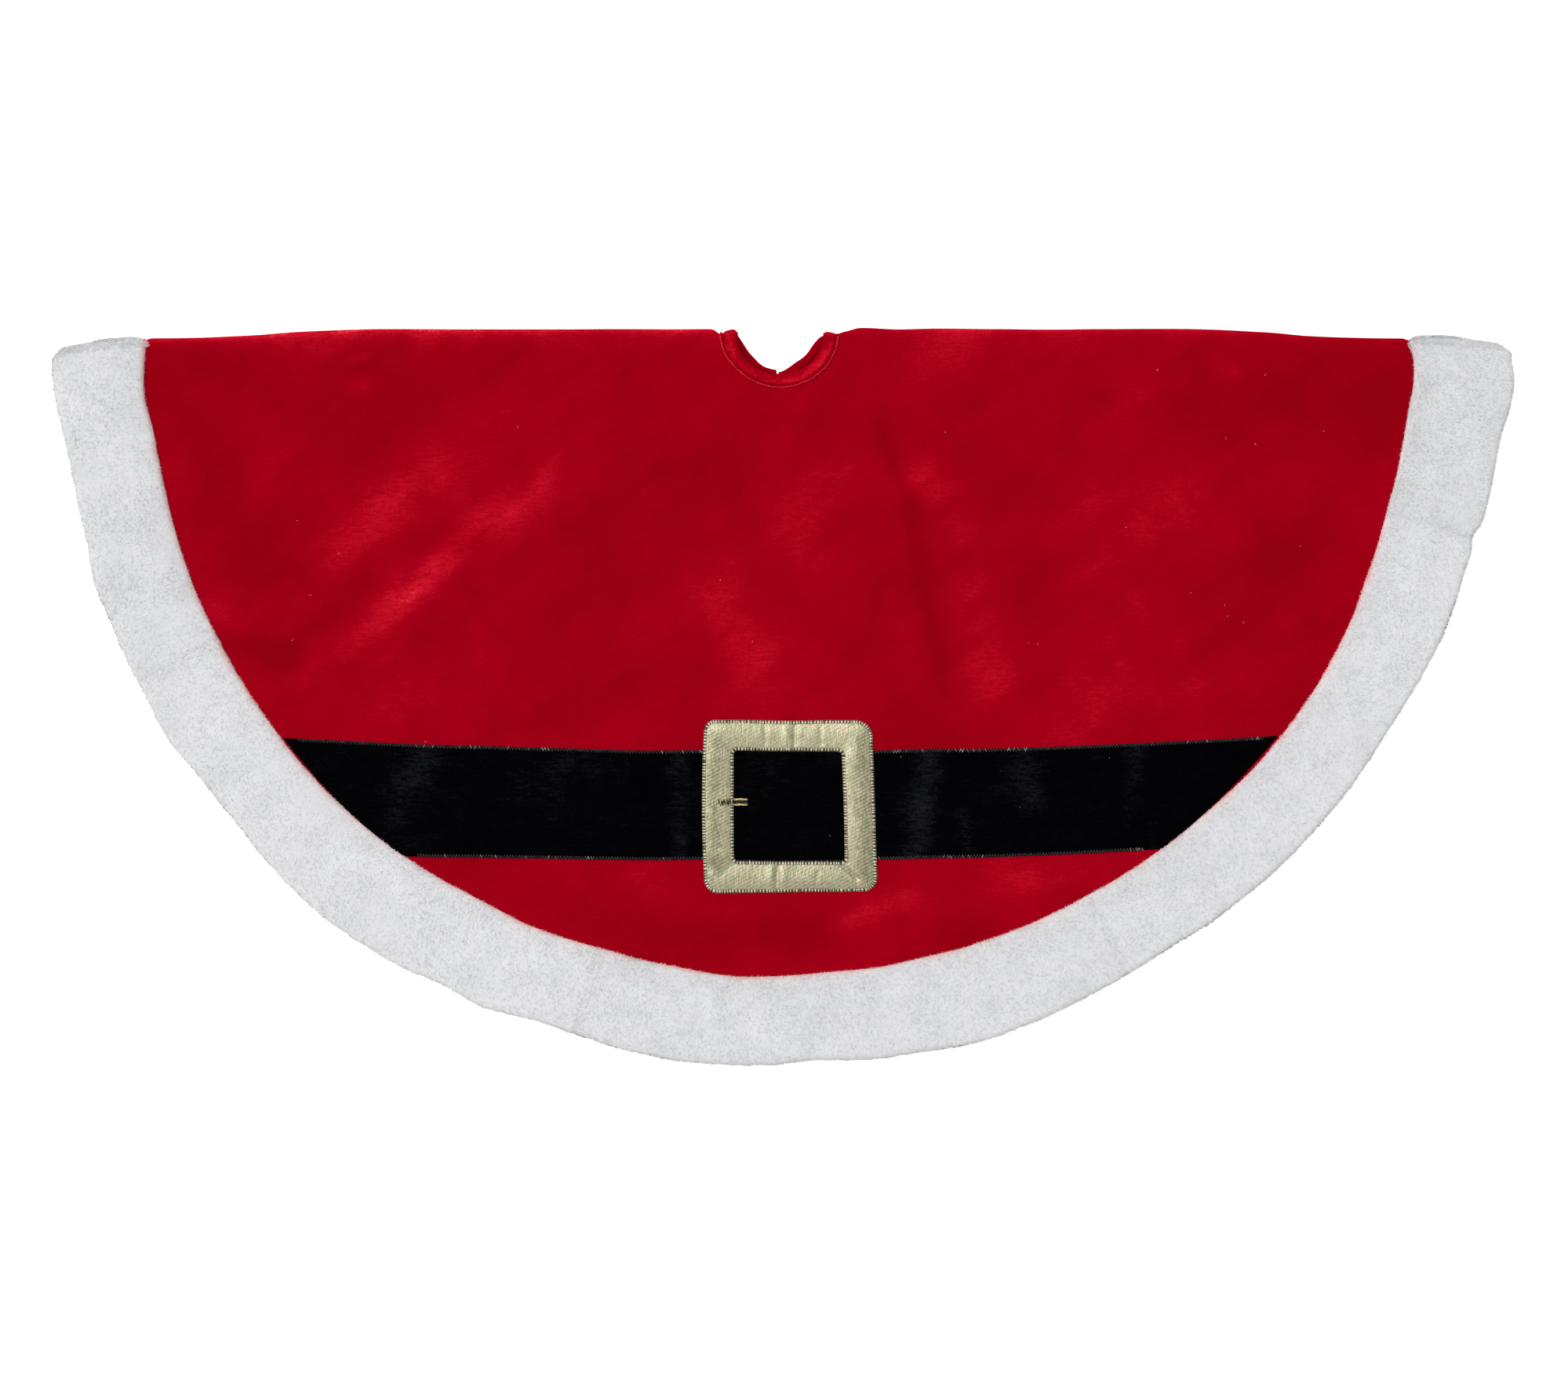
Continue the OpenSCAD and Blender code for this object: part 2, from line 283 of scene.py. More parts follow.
class Shader:
    """A material whose nodes are added and wired by short calls."""

    def __init__(self, name):
        self.material = bpy.data.materials.new(name)
        self.material.use_nodes = True
        self.tree = self.material.node_tree
        self.principled = self.tree.nodes["Principled BSDF"]
        self.coordinates = self.node("ShaderNodeTexCoord").outputs["Object"]

    def node(self, kind, inputs=None, **settings):
        made = self.tree.nodes.new(kind)
        for key, value in settings.items():
            setattr(made, key, value)
        for key, value in (inputs or {}).items():
            self.plug(made.inputs[key], value)
        return made

    def plug(self, socket, value):
        if isinstance(value, bpy.types.NodeSocket):
            self.tree.links.new(value, socket)
        else:
            socket.default_value = value

    def set(self, **values):
        for key, value in values.items():
            self.plug(self.principled.inputs[key.replace("_", " ")], value)

    def attribute(self, name):
        return self.node("ShaderNodeAttribute", attribute_name=name).outputs["Fac"]

    def stretched(self, scale, angle=0.0):
        mapping = self.node("ShaderNodeMapping", {"Vector": self.coordinates, "Scale": scale,
                                                  "Rotation": (0, 0, math.radians(angle))})
        return mapping.outputs["Vector"]

    def noise(self, size, detail=2.0, vector=None, distortion=0.0, roughness=0.5):
        """Noise whose bumps are about size metres wide."""
        made = self.node("ShaderNodeTexNoise", {"Vector": vector or self.coordinates, "Scale": 1 / size,
                                                "Detail": detail, "Distortion": distortion,
                                                "Roughness": roughness})
        return made.outputs["Fac"]

    def wave(self, pitch, angle, distortion=0.0):
        """Parallel ribs, pitch metres apart, that run at an angle in degrees from the Y axis."""
        made = self.node("ShaderNodeTexWave", {"Vector": self.stretched((1, 1, 1), angle),
                                               "Scale": math.pi / (10 * pitch),
                                               "Distortion": distortion})
        return made.outputs["Fac"]

    def math(self, operation, a, b):
        return self.node("ShaderNodeMath", {0: a, 1: b}, operation=operation).outputs[0]

    def add(self, *terms):
        """Sum of (socket or number, factor) pairs."""
        total = None
        for value, factor in terms:
            scaled = self.math("MULTIPLY", value, factor)
            total = scaled if total is None else self.math("ADD", total, scaled)
        return total

    def ramp(self, value, *stops):
        made = self.node("ShaderNodeValToRGB", {"Fac": value})
        elements = made.color_ramp.elements
        while len(elements) < len(stops):
            elements.new(0.5)
        for element, (place, colour) in zip(elements, stops):
            element.position = place
            element.color = (*colour, 1)
        return made.outputs["Color"]

    def multiply(self, a, b):
        """Two colours multiplied."""
        mix = self.node("ShaderNodeMix", {"Factor": 1.0}, data_type="RGBA", blend_type="MULTIPLY")
        self.tree.links.new(a, mix.inputs["A"])
        self.tree.links.new(b, mix.inputs["B"])
        return mix.outputs["Result"]

    def bump(self, height, distance, strength=1.0, normal=None):
        inputs = {"Height": height, "Distance": distance, "Strength": strength}
        if normal is not None:
            inputs["Normal"] = normal
        return self.node("ShaderNodeBump", inputs).outputs["Normal"]


def velvet_material(name, dark, middle, light, rim_light, sheen, grit=1.0):
    """Short-pile velvet: painted sheen and painted shade from the mesh's nap attribute, broken up by the
    weave's fine grain.
    """
    s = Shader(name)
    nap_sheen_and_shade = s.attribute("nap_sheen_and_shade")
    grain = s.noise(0.0021, 3, roughness=0.75)
    weave = s.noise(0.0019, 1, vector=s.stretched((0.22, 1, 1), 1))
    patches = s.noise(0.045, 5, distortion=0.4, roughness=0.57)
    # The lighter part of the painted sheen is broken up by the grain and the weave
    lit = s.math("MAXIMUM", nap_sheen_and_shade, 0.0)
    broken = s.add((grain, 1.5), (weave, 0.9), (1.0, -0.2))
    level = s.add((s.math("MULTIPLY", lit, broken), 0.45), (s.math("MINIMUM", nap_sheen_and_shade, 0.0), 0.40),
                  (patches, 0.34), (grain, 0.26 * grit), (weave, 0.17 * grit), (1.0, 0.115 - 0.215 * grit))
    colour = s.ramp(level, (0.05, dark), (0.38, middle), (0.86, light), (1.0, rim_light))
    s.set(Base_Color=colour, Roughness=0.9,
          Specular_IOR_Level=0.0, Sheen_Weight=sheen[0], Sheen_Roughness=0.35, Sheen_Tint=(*sheen[1:], 1))
    pile = s.bump(s.add((grain, 0.5), (weave, 0.5)), 0.0003, 0.6)
    s.set(Normal=s.bump(s.noise(0.007, 3), 0.0006, 0.5, pile))
    return s.material


def plush_material():
    """Short white plush: soft mottles, fine fibres, and painted red light along the edge by the velvet,
    where the red shows through the thin pile.
    """
    s = Shader("plush_white")
    # The tip attribute is painted shade deep in the pile, with painted glints and the painted shade and
    # highlight by the sewn edge
    tip = s.attribute("tip")
    mottle = s.noise(0.024, 3, distortion=0.5)
    fibres = s.noise(0.0022, 2, vector=s.stretched((1, 0.45, 1), 15), roughness=0.6)
    level = s.add((mottle, 0.34), (fibres, 0.14), (tip, 0.11), (1.0, 0.225))
    colour = s.ramp(level, (0.22, (0.59, 0.594, 0.610)), (0.50, (0.708, 0.711, 0.727)),
                    (0.80, (0.84, 0.84, 0.85)))
    colour = s.multiply(colour, s.ramp(s.attribute("red_light_through_pile"), (0.0, (1, 1, 1)), (1.0, (1.02, 0.56, 0.53))))
    s.set(Base_Color=colour, Roughness=0.9, Sheen_Weight=0.12, Sheen_Roughness=0.6,
          Specular_IOR_Level=0.15)
    s.set(Normal=s.bump(mottle, 0.002, 0.12, s.bump(fibres, 0.0004, 0.10)))
    return s.material


def lame_material():
    """Pale gold metallic twill: fine slanting ribs in gold, with green and peach tints, and painted light
    and shade from the tone attribute.
    """
    s = Shader("lame_gold")
    tone = s.attribute("tone")
    ribs = s.noise(0.0017, 2, vector=s.stretched((1, 0.30, 1), 40), roughness=0.7)
    cross = s.noise(0.0016, 1, vector=s.stretched((0.35, 1, 1), 18))
    twill = s.wave(0.0027, 62, 0.6)
    tint = s.noise(0.0030, 4, vector=s.stretched((1, 0.6, 1), 30), roughness=0.7)
    hue = s.ramp(tint, (0.30, (0.43, 0.49, 0.29)), (0.50, (0.53, 0.50, 0.32)), (0.70, (0.63, 0.50, 0.345)))
    shade = s.ramp(s.add((ribs, 0.50), (cross, 0.25), (twill, 0.17), (tone, 0.16), (1.0, -0.035)),
                   (0.30, (0.40, 0.40, 0.37)), (0.50, (0.80, 0.80, 0.78)), (0.72, (1.0, 1.0, 1.0)))
    s.set(Base_Color=s.multiply(hue, shade), Metallic=0.45, Roughness=0.40, Sheen_Weight=0.08)
    s.set(Normal=s.bump(ribs, 0.0006, 0.8))
    return s.material


def thread_material(name, dark, light, metallic, roughness, specular=0.5):
    """Thread whose tone attribute, one value per stitch, runs from dark to light."""
    s = Shader(name)
    level = s.add((s.attribute("tone"), 0.85), (s.noise(0.0008, 1), 0.3), (1.0, -0.08))
    s.set(Base_Color=s.ramp(level, (0.1, dark), (0.95, light)), Metallic=metallic, Roughness=roughness,
          Specular_IOR_Level=specular)
    s.set(Normal=s.bump(s.noise(0.0006, 1), 0.0002, 0.5))
    return s.material


def cloth_material(name, dark, light, weave, roughness, sheen):
    """Plain cloth with a woven or felted grain about weave metres across."""
    s = Shader(name)
    warp = s.noise(weave, 1, vector=s.stretched((1, 0.15, 1), 0))
    weft = s.noise(weave, 1, vector=s.stretched((0.15, 1, 1), 0))
    level = s.add((warp, 0.35), (weft, 0.35), (s.noise(0.03, 3), 0.4), (1.0, -0.05))
    s.set(Base_Color=s.ramp(level, (0.3, dark), (0.75, light)), Roughness=roughness, Sheen_Weight=sheen)
    s.set(Normal=s.bump(s.add((warp, 0.5), (weft, 0.5)), weave * 0.3, 0.6))
    return s.material


RED_VELVET = velvet_material("velvet_red", (0.262, 0.0002, 0.0052), (0.352, 0.0003, 0.0088),
                             (0.60, 0.007, 0.022), (0.72, 0.045, 0.060), (0.08, 1.0, 0.03, 0.06))
BLACK_VELVET = velvet_material("belt_velvet_black", (0.0004, 0.0004, 0.0008), (0.0016, 0.0016, 0.0023),
                               (0.0120, 0.0125, 0.0165), (0.018, 0.018, 0.024), (0.02, 0.5, 0.55, 0.8), 2.1)
PLUSH = plush_material()
LAME = lame_material()
SILVER = thread_material("silver_thread", (0.008, 0.008, 0.011), (0.60, 0.60, 0.60), 0.5, 0.4)
GOLD = thread_material("gold_thread", (0.06, 0.042, 0.018), (0.95, 0.90, 0.66), 0.4, 0.38)
BROWN_GOLD = thread_material("tongue_thread", (0.016, 0.010, 0.004), (0.80, 0.66, 0.32), 0.5, 0.35)
RED_THREAD = thread_material("red_thread", (0.44, 0.004, 0.018), (0.70, 0.036, 0.052), 0.0, 0.8, 0.0)
LINING = cloth_material("lining_red", (0.20, 0.002, 0.006), (0.36, 0.008, 0.014), 0.0012, 0.45, 0.1)
INTERLINING = cloth_material("interlining_white", (0.62, 0.61, 0.58), (0.86, 0.85, 0.82), 0.004, 0.95, 0.2)
WADDING = cloth_material("wadding_white", (0.72, 0.72, 0.71), (0.93, 0.93, 0.92), 0.006, 1.0, 0.3)
TAPE = cloth_material("hook_loop_tape", (0.14, 0.002, 0.004), (0.34, 0.008, 0.014), 0.0016, 0.9, 0.0)


# ---------------------------------------------------------------- how the cloth lies

# Each crease in the quilted cloth: start, end and width in metres, and its height in mm
SOFT_CREASES = (
    ((0.086, -0.078), (0.111, -0.149), 0.006, -0.7),
    ((0.111, -0.149), (0.138, -0.296), 0.007, -0.8),
    ((0.115, -0.120), (0.180, -0.300), 0.010, 0.7),
    ((0.182, -0.285), (0.186, -0.312), 0.004, -0.4),
    ((-0.416, -0.200), (-0.414, -0.310), 0.004, -0.4),
    ((-0.184, -0.111), (-0.400, -0.290), 0.013, 0.9),
    ((-0.300, -0.120), (-0.412, -0.223), 0.012, 0.6),
    ((-0.345, -0.203), (-0.412, -0.273), 0.012, -0.8),
    ((-0.370, -0.034), (-0.350, -0.036), 0.007, -0.7),
)


def bow(x):
    """How far the fold line falls back towards the front at the skirt's two ends."""
    past = np.clip((np.abs(x) - 0.545) / 0.070, 0, 1.2)
    corner = np.where(x < 0, 9.0 * past ** 1.3, 6.0 * past ** 2)
    return (7.0 * smooth((np.abs(x) - 0.32) / 0.19) + corner) * MM


def corner_round(x):
    """How far the trim's outer corners are rounded off at the fold."""
    return np.where(x < 0, 9.0, 3.5) * MM * np.clip((np.abs(x) - 0.594) / 0.019, 0, 1.2) ** 2


def neck_pull(x, y, part):
    """The share by which the neck is pulled in towards the middle: the loose wings slip in further."""
    turn = np.degrees(np.arctan2(-y, np.abs(x)))
    if part == "front":
        outwards = np.clip((np.hypot(x, y) - TRUNK_R) / (COLLAR_R - TRUNK_R), 0, 1)
        return 0.08 * smooth(turn / 80) - 0.05 * outwards * (x < 0) * (1 - smooth(turn / 50))
    if part == "left":
        return 0.22 * (1 - np.exp(-np.clip(turn + 1, 0, None) / 20))
    return 0.28 * (1 - np.exp(-np.clip(turn + 2, 0, None) / 12)) - 0.12 * smooth((turn - 55) / 35)


def slit_drift(y):
    """How far the two wings' slit edges have slipped sideways at the neck."""
    return -3.2 * MM * (1 - smooth((np.abs(y) - 0.020) / 0.060))


def settle(points, part):
    """Moves points of a flat half at -Y to where the soft half lies: bowed ends and a pulled-in neck."""
    p = np.array(points, dtype=float)
    x, y = p[..., 0].copy(), p[..., 1].copy()
    pull = neck_pull(x, y, part) * (1 - smooth((np.hypot(x, y) - COLLAR_R) / 0.045))
    p[..., 0] = x * (1 - pull)
    if part != "front":
        p[..., 0] += slit_drift(y) * smooth(1 - np.abs(x) / 0.030)
    p[..., 1] = (y * (1 - pull) - bow(x) * (1 - smooth((np.abs(y) - 0.010) / 0.080))
                 - corner_round(x) * (1 - smooth((np.abs(y) - 0.001) / 0.022)))
    return p


TURNED_UNDER = np.array([1, -1, -1])


def lay(points, part):
    """The front half stays at -Y. A wing, drawn opened at +Y, is turned under first."""
    return settle(points if part == "front" else np.asarray(points) * TURNED_UNDER, part)


def relief(x, y, part):
    """How far the quilted cloth rises and dips, fading out at the fold, the neck and the trim."""
    r = np.hypot(x, y)
    seed = NOISE_SEED[part]
    p = flat_points(x, y)
    fade = smooth(np.abs(y) / 0.04) * smooth((r - COLLAR_R) / 0.03) * smooth((PANEL_R - 0.006 - r) / 0.03)
    height = 1.0 * noise(p, 0.085, seed) + 0.45 * noise(p, 0.034, seed + 1)
    height = height + 0.35 * noise(p, 0.014, seed + 2) * np.exp(-((TRIM_R - 0.004 - r) / 0.012) ** 2)
    if part == "front":
        for start, end, width, depth in SOFT_CREASES:
            height = height + depth * streak(x, y, start, end, width)
        top, bottom = belt_edges(x)
        near = np.minimum(np.abs(y - top), np.abs(y - bottom))
        height = height + 0.35 * noise(p, 0.016, seed + 3) * hump(near, 0, 0.010)
    return height * MM * fade


# Bulges of the trim's edges: angle and width in degrees, and height in mm
OUTER_BULGES = ((193, 6.5, -7.5), (194, 2.5, 2.5), (199.5, 2, 3.0), (208, 5, 1.5), (213.5, 3, 4.0),
                (232, 8.5, 9.5), (239, 2.5, 2.8), (246, 2.8, 4.8), (251, 3, -1.5), (262, 7, 3.5),
                (272.5, 2.5, -2.5), (286.5, 6, 4.5), (302, 4, -2.0), (328, 6, -3.0), (342, 5, -4.0),
                (343.7, 0.8, -3.5), (351, 3, -1.6), (356.5, 3, 4.8))
INNER_BULGES = ((180, 1, -2.0), (185, 2.5, 3.6), (189, 12, -4.5), (227, 12, 4.0), (248, 4, 1.8),
                (266, 6, 2.8), (320, 9, 2.0), (356.5, 3, 2.6), (360.3, 1, -5.5))
# How much further in a wing's edge lies, in mm
TUCKED_IN = 2.6


def rim(theta, part, inner):
    """How far the trim's wavy edge lies from its plain circle, at angles theta from +X on the opened skirt.

    A wing's edge waves as the front's above it does, and lies a little further in.
    """
    p = xyz(np.cos(theta), np.sin(theta), 0.5 if inner else 0.1) * SKIRT_R
    seed = NOISE_SEED[part] + 40
    fine = 0.5 * noise(p, 0.022, seed) + 0.35 * noise(p, 0.010, seed + 1)
    turn = np.degrees(theta if part == "front" else 2 * math.pi - theta)
    wave = sum(size * hump(turn, at, width)
               for at, width, size in (INNER_BULGES if inner else OUTER_BULGES))
    if inner:
        return (0.8 + wave + 0.5 * fine - 6.5 * smooth((turn - 328) / 18)) * MM
    return (wave + fine - 0.6 - (0 if part == "front" else TUCKED_IN)) * MM


# ---------------------------------------------------------------- the panels

def panel_points(part, radii, angles, depth, lip=()):
    """A panel's surface at depth below its face, on rows of radius and columns of angle.

    lip lists the angles by which the front's own cloth goes on round the fold, at both of its ends.
    """
    r, t = np.meshgrid(radii, angles, indexing="ij")
    x, y = r * np.cos(t), r * np.sin(t)
    z = FACE_Z - depth + relief(x, y, part)
    if part != "front":
        y = y + FOLD_MARGIN * (1 - smooth(y / 0.030))
    flat = xyz(x, y, z)
    if len(lip):
        ends = []
        for side in (-1, 1):
            rr, phi = np.meshgrid(radii, lip, indexing="ij")
            ends.append(fold_points(side * rr, phi, depth))
        flat = np.concatenate([ends[0][:, ::-1], flat, ends[1]], axis=1)
    return lay(flat, part)


def fold_points(x, phi, depth):
    """The bend over the X axis: phi 0 is its crest, half a turn its underside. It dips by the neck."""
    full = 0.45 + 0.55 * smooth((np.abs(x) - COLLAR_R + np.where(x < 0, 0.0015, -0.002)) / np.where(
        x < 0, 0.008, 0.016))
    full = full + 0.22 * hump(x, 0.074, 0.016)
    full = full * (1 - 0.5 * smooth((np.abs(x) - TRIM_R + np.where(x < 0, 0.007, 0.013)) / 0.006))
    full = full * (0.06 + 0.94 * smooth((np.abs(x) - COLLAR_R + 0.001) / 0.003))
    wave = 1 + 0.10 * noise(xyz(x, 0, 0), 0.045, 77)
    radius = BEND - depth
    return xyz(x, radius * np.sin(phi) * full * wave, radius * np.cos(phi))


def clear_of_slit(points, part):
    """Keeps a wing's cloth on its own side of the slit at x = 0."""
    side = SIDES[part]
    p = points.copy()
    slit = slit_drift(p[..., 1])
    p[..., 0] = slit + side * np.maximum(side * (p[..., 0] - slit), SLIT)
    return p


def sheen_and_shade_of(points, part):
    """Painted light and shade on the velvet: the sheen of its brushed pile, painted highlights beside
    creases and along the fold's crest, and painted shade in creases. Above 0 shows lighter, below 0 darker.
    """
    x, y = points[..., 0], points[..., 1]
    c, s = math.cos(math.radians(38)), math.sin(math.radians(38))
    brushed = xyz((x * c + y * s) * 0.4, y * c - x * s, 0)
    seed = NOISE_SEED[part] + 20
    nap_sheen_and_shade = 0.19 * fractal(brushed, 0.045, seed, 4, 0.6) + 0.18 * fractal(points, 0.10, seed + 5, 3) - 0.03
    if part == "front":
        broken = 0.85 + 0.45 * fractal(brushed, 0.020, seed + 9, 3)
        for start, end, width, value in SHEEN_AND_SHADE_STREAKS:
            strength = value * np.clip(broken, 0, 1.3) if value > 0 else value
            nap_sheen_and_shade = nap_sheen_and_shade + strength * streak(x, y, start, end, width)
        # Painted highlight along the fold's crest, strongest on the left half
        below = np.clip(BEND - bow(x) - y, 0, None)
        strong = 0.35 + 0.65 * smooth((0.10 - x) / 0.15) - 0.12 * smooth((-x - 0.30) / 0.05)
        edge_highlight = 0.75 * hump(below, 0, 0.0045) + 0.45 * hump(below, 0, 0.011)
        nap_sheen_and_shade = nap_sheen_and_shade + strong * edge_highlight * (1 + 0.5 * noise(points, 0.02, 4))
    return nap_sheen_and_shade


# Each painted streak on the front, whether sheen of brushed pile, a painted highlight beside a crease or
# painted shade in a crease: start, end and width in metres, and how much lighter it is
SHEEN_AND_SHADE_STREAKS = (
    ((-0.190, -0.118), (-0.330, -0.240), 0.021, 0.42),
    ((-0.200, -0.122), (-0.250, -0.160), 0.014, 0.22),
    ((-0.285, -0.195), (-0.318, -0.222), 0.013, 0.50),
    ((-0.330, -0.238), (-0.399, -0.290), 0.013, 0.28),
    ((-0.200, -0.120), (-0.340, -0.240), 0.045, 0.14),
    ((-0.290, -0.122), (-0.335, -0.138), 0.013, 0.34),
    ((-0.330, -0.150), (-0.412, -0.220), 0.020, 0.38),
    ((-0.412, -0.220), (-0.462, -0.232), 0.016, 0.38),
    ((-0.300, -0.140), (-0.420, -0.210), 0.045, 0.12),
    ((-0.300, -0.006), (-0.100, -0.006), 0.012, 0.24),
    ((-0.480, -0.028), (-0.320, -0.028), 0.014, -0.14),
    ((-0.358, -0.020), (-0.348, -0.019), 0.004, 0.60),
    ((-0.356, -0.044), (-0.348, -0.044), 0.007, 0.36),
    ((-0.345, -0.208), (-0.415, -0.268), 0.013, -0.55),
    ((-0.475, -0.255), (-0.415, -0.268), 0.013, -0.60),
    ((-0.510, -0.050), (-0.330, -0.070), 0.045, -0.30),
    ((-0.480, -0.100), (-0.440, -0.190), 0.030, -0.30),
    ((-0.420, -0.050), (-0.350, -0.095), 0.020, -0.20),
    ((-0.360, -0.140), (-0.322, -0.128), 0.004, -0.20),
    ((0.086, -0.078), (0.111, -0.149), 0.008, -0.40),
    ((0.111, -0.149), (0.138, -0.296), 0.010, -0.42),
    ((0.126, -0.130), (0.180, -0.290), 0.028, 0.42),
    ((0.118, -0.124), (0.150, -0.165), 0.014, 0.20),
    ((0.165, -0.260), (0.182, -0.300), 0.014, 0.12),
    ((0.090, -0.180), (0.112, -0.290), 0.012, 0.16),
    ((-0.050, -0.225), (-0.018, -0.285), 0.022, 0.22),
    ((-0.038, -0.124), (-0.013, -0.207), 0.020, -0.24),
    ((-0.110, -0.205), (-0.060, -0.150), 0.022, -0.20),
    ((0.020, -0.090), (0.060, -0.130), 0.020, 0.12),
    ((0.294, -0.223), (0.352, -0.290), 0.013, 0.22),
    ((0.319, -0.107), (0.344, -0.149), 0.022, 0.18),
    ((0.230, -0.120), (0.260, -0.240), 0.030, 0.10),
    ((0.330, -0.060), (0.510, -0.070), 0.050, -0.32),
    ((0.405, -0.160), (0.452, -0.255), 0.022, -0.30),
    ((0.500, -0.049), (0.515, -0.120), 0.020, -0.22),
    ((0.365, -0.028), (0.380, -0.032), 0.008, 0.30),
    ((-0.188, -0.024), (-0.154, -0.024), 0.014, 0.20),
    ((0.057, -0.487), (0.103, -0.472), 0.011, 0.42),
    ((-0.055, -0.480), (-0.040, -0.482), 0.012, 0.30),
    ((-0.005, -0.502), (0.045, -0.510), 0.014, -0.40),
    ((0.198, -0.456), (0.277, -0.448), 0.009, 0.25),
    ((-0.130, -0.455), (-0.090, -0.465), 0.020, 0.15),
    ((-0.240, -0.495), (0.220, -0.500), 0.040, -0.20),
)
LIP = np.radians(np.linspace(8, 42, 5))


def panel(part, layer, depth, thickness, material):
    """One layer of the front half or of a wing, with its upper side at depth below the velvet's face."""
    whole = part == "front"
    fine = layer == "velvet"
    rows, step = 90, 9.0 * MM
    if fine:
        rows, step = (200, 3.8 * MM) if whole else (130, 5.0 * MM)
    low, high = np.radians(SPANS[part])
    radii = np.linspace(PANEL_INNER_R, PANEL_R, rows)
    angles = np.linspace(low, high, int(PANEL_R * (high - low) / step))
    lip = LIP if fine and whole else ()
    top, under = (panel_points(part, radii, angles, d, lip) for d in (depth, depth + thickness))
    if not whole:
        top, under = (clear_of_slit(p, part) for p in (top, under))
    node = node_of(part, layer)
    made = closed_sheet(node, top, under, material, {"nap_sheen_and_shade": sheen_and_shade_of(top, part)} if fine else None)
    fasten(made, part, node)


# How near to the fold's middle plane the velvet turns with the hinge
VELVET_TURN = 3.2 * MM
FUR_TURN = 5.5 * MM


def clear_of_turn(phi, high, turn, power=1.0):
    """Squeezes the angles round a fold so that no point lies within turn of its middle plane.

    Points there swing round the hinge line as a wing opens. Where the fold is bowed they would hang
    under the skirt; without them one flat strip joins the two sides.
    """
    last = np.arccos(np.clip((turn + 0.05 * MM) / high, 0, 0.99) ** (1 / power))
    half = math.pi / 2
    return np.where(phi < half, phi * last / half, math.pi - (math.pi - phi) * last / half)


def velvet_fold(wing):
    """The strip of face cloth that bends round the fold, from under the front's lip to the wing."""
    side = SIDES[wing]
    x = side * np.linspace(COLLAR_R - 0.005, PANEL_R - 0.002, 170)
    phi = np.radians(np.linspace(6, 180, 22))
    xx, pp = np.meshgrid(x, phi, indexing="ij")
    bowed = smooth((np.abs(xx) - 0.39) / 0.05)
    pp = pp + (clear_of_turn(pp, BEND, VELVET_TURN) - pp) * bowed
    xs, ys = np.meshgrid(x, -np.linspace(0.25, 1, 4) * (FOLD_MARGIN - 0.25 * MM), indexing="ij")
    name = node_of(wing, "velvet_fold")
    layers = []
    for depth in (0.00018, 0.0012):
        under = xyz(xs, ys, depth - BEND)
        layers.append(settle(np.concatenate([fold_points(xx, pp, depth), under], axis=1), "front"))
    # Painted light on the strip's underside where the fold is bowed; it shows as a valley when a wing is
    # opened, and without it that valley would fall into shade
    opened_valley_light = smooth(-layers[0][..., 2] / (0.5 * BEND)) * bow(layers[0][..., 0]) / (7 * MM)
    if side > 0:
        layers, opened_valley_light = [p[::-1] for p in layers], opened_valley_light[::-1]
    made = closed_sheet(name, *layers, RED_VELVET, {"nap_sheen_and_shade": sheen_and_shade_of(layers[0], "front") + 0.15 * opened_valley_light})
    bend_round_fold(made)
    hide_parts(name)
    return made


# ---------------------------------------------------------------- the plush trim

def roll_section(steps_top=26, steps_edge=6, steps_under=9):
    """A flat roll's outline as (share of the width, height from -1 to 1, normal across, normal up).

    It runs over the top from the inner edge to the outer edge, round it, and back underneath.
    """
    edge = 0.062
    places = [(u, 1.0, 0.0, 1.0) for u in np.linspace(edge, 1 - edge, steps_top)]
    for a in np.linspace(90, -90, steps_edge + 2)[1:-1]:
        c, s = math.cos(math.radians(a)), math.sin(math.radians(a))
        places.append((1 - edge + edge * c, s, c, s))
    places += [(u, -1.0, 0.0, -1.0) for u in np.linspace(1 - edge, edge, steps_under)]
    for a in np.linspace(-90, -270, steps_edge + 2)[1:-1]:
        c, s = math.cos(math.radians(a)), math.sin(math.radians(a))
        places.append((edge + edge * c, s, c, s))
    return np.array(places)


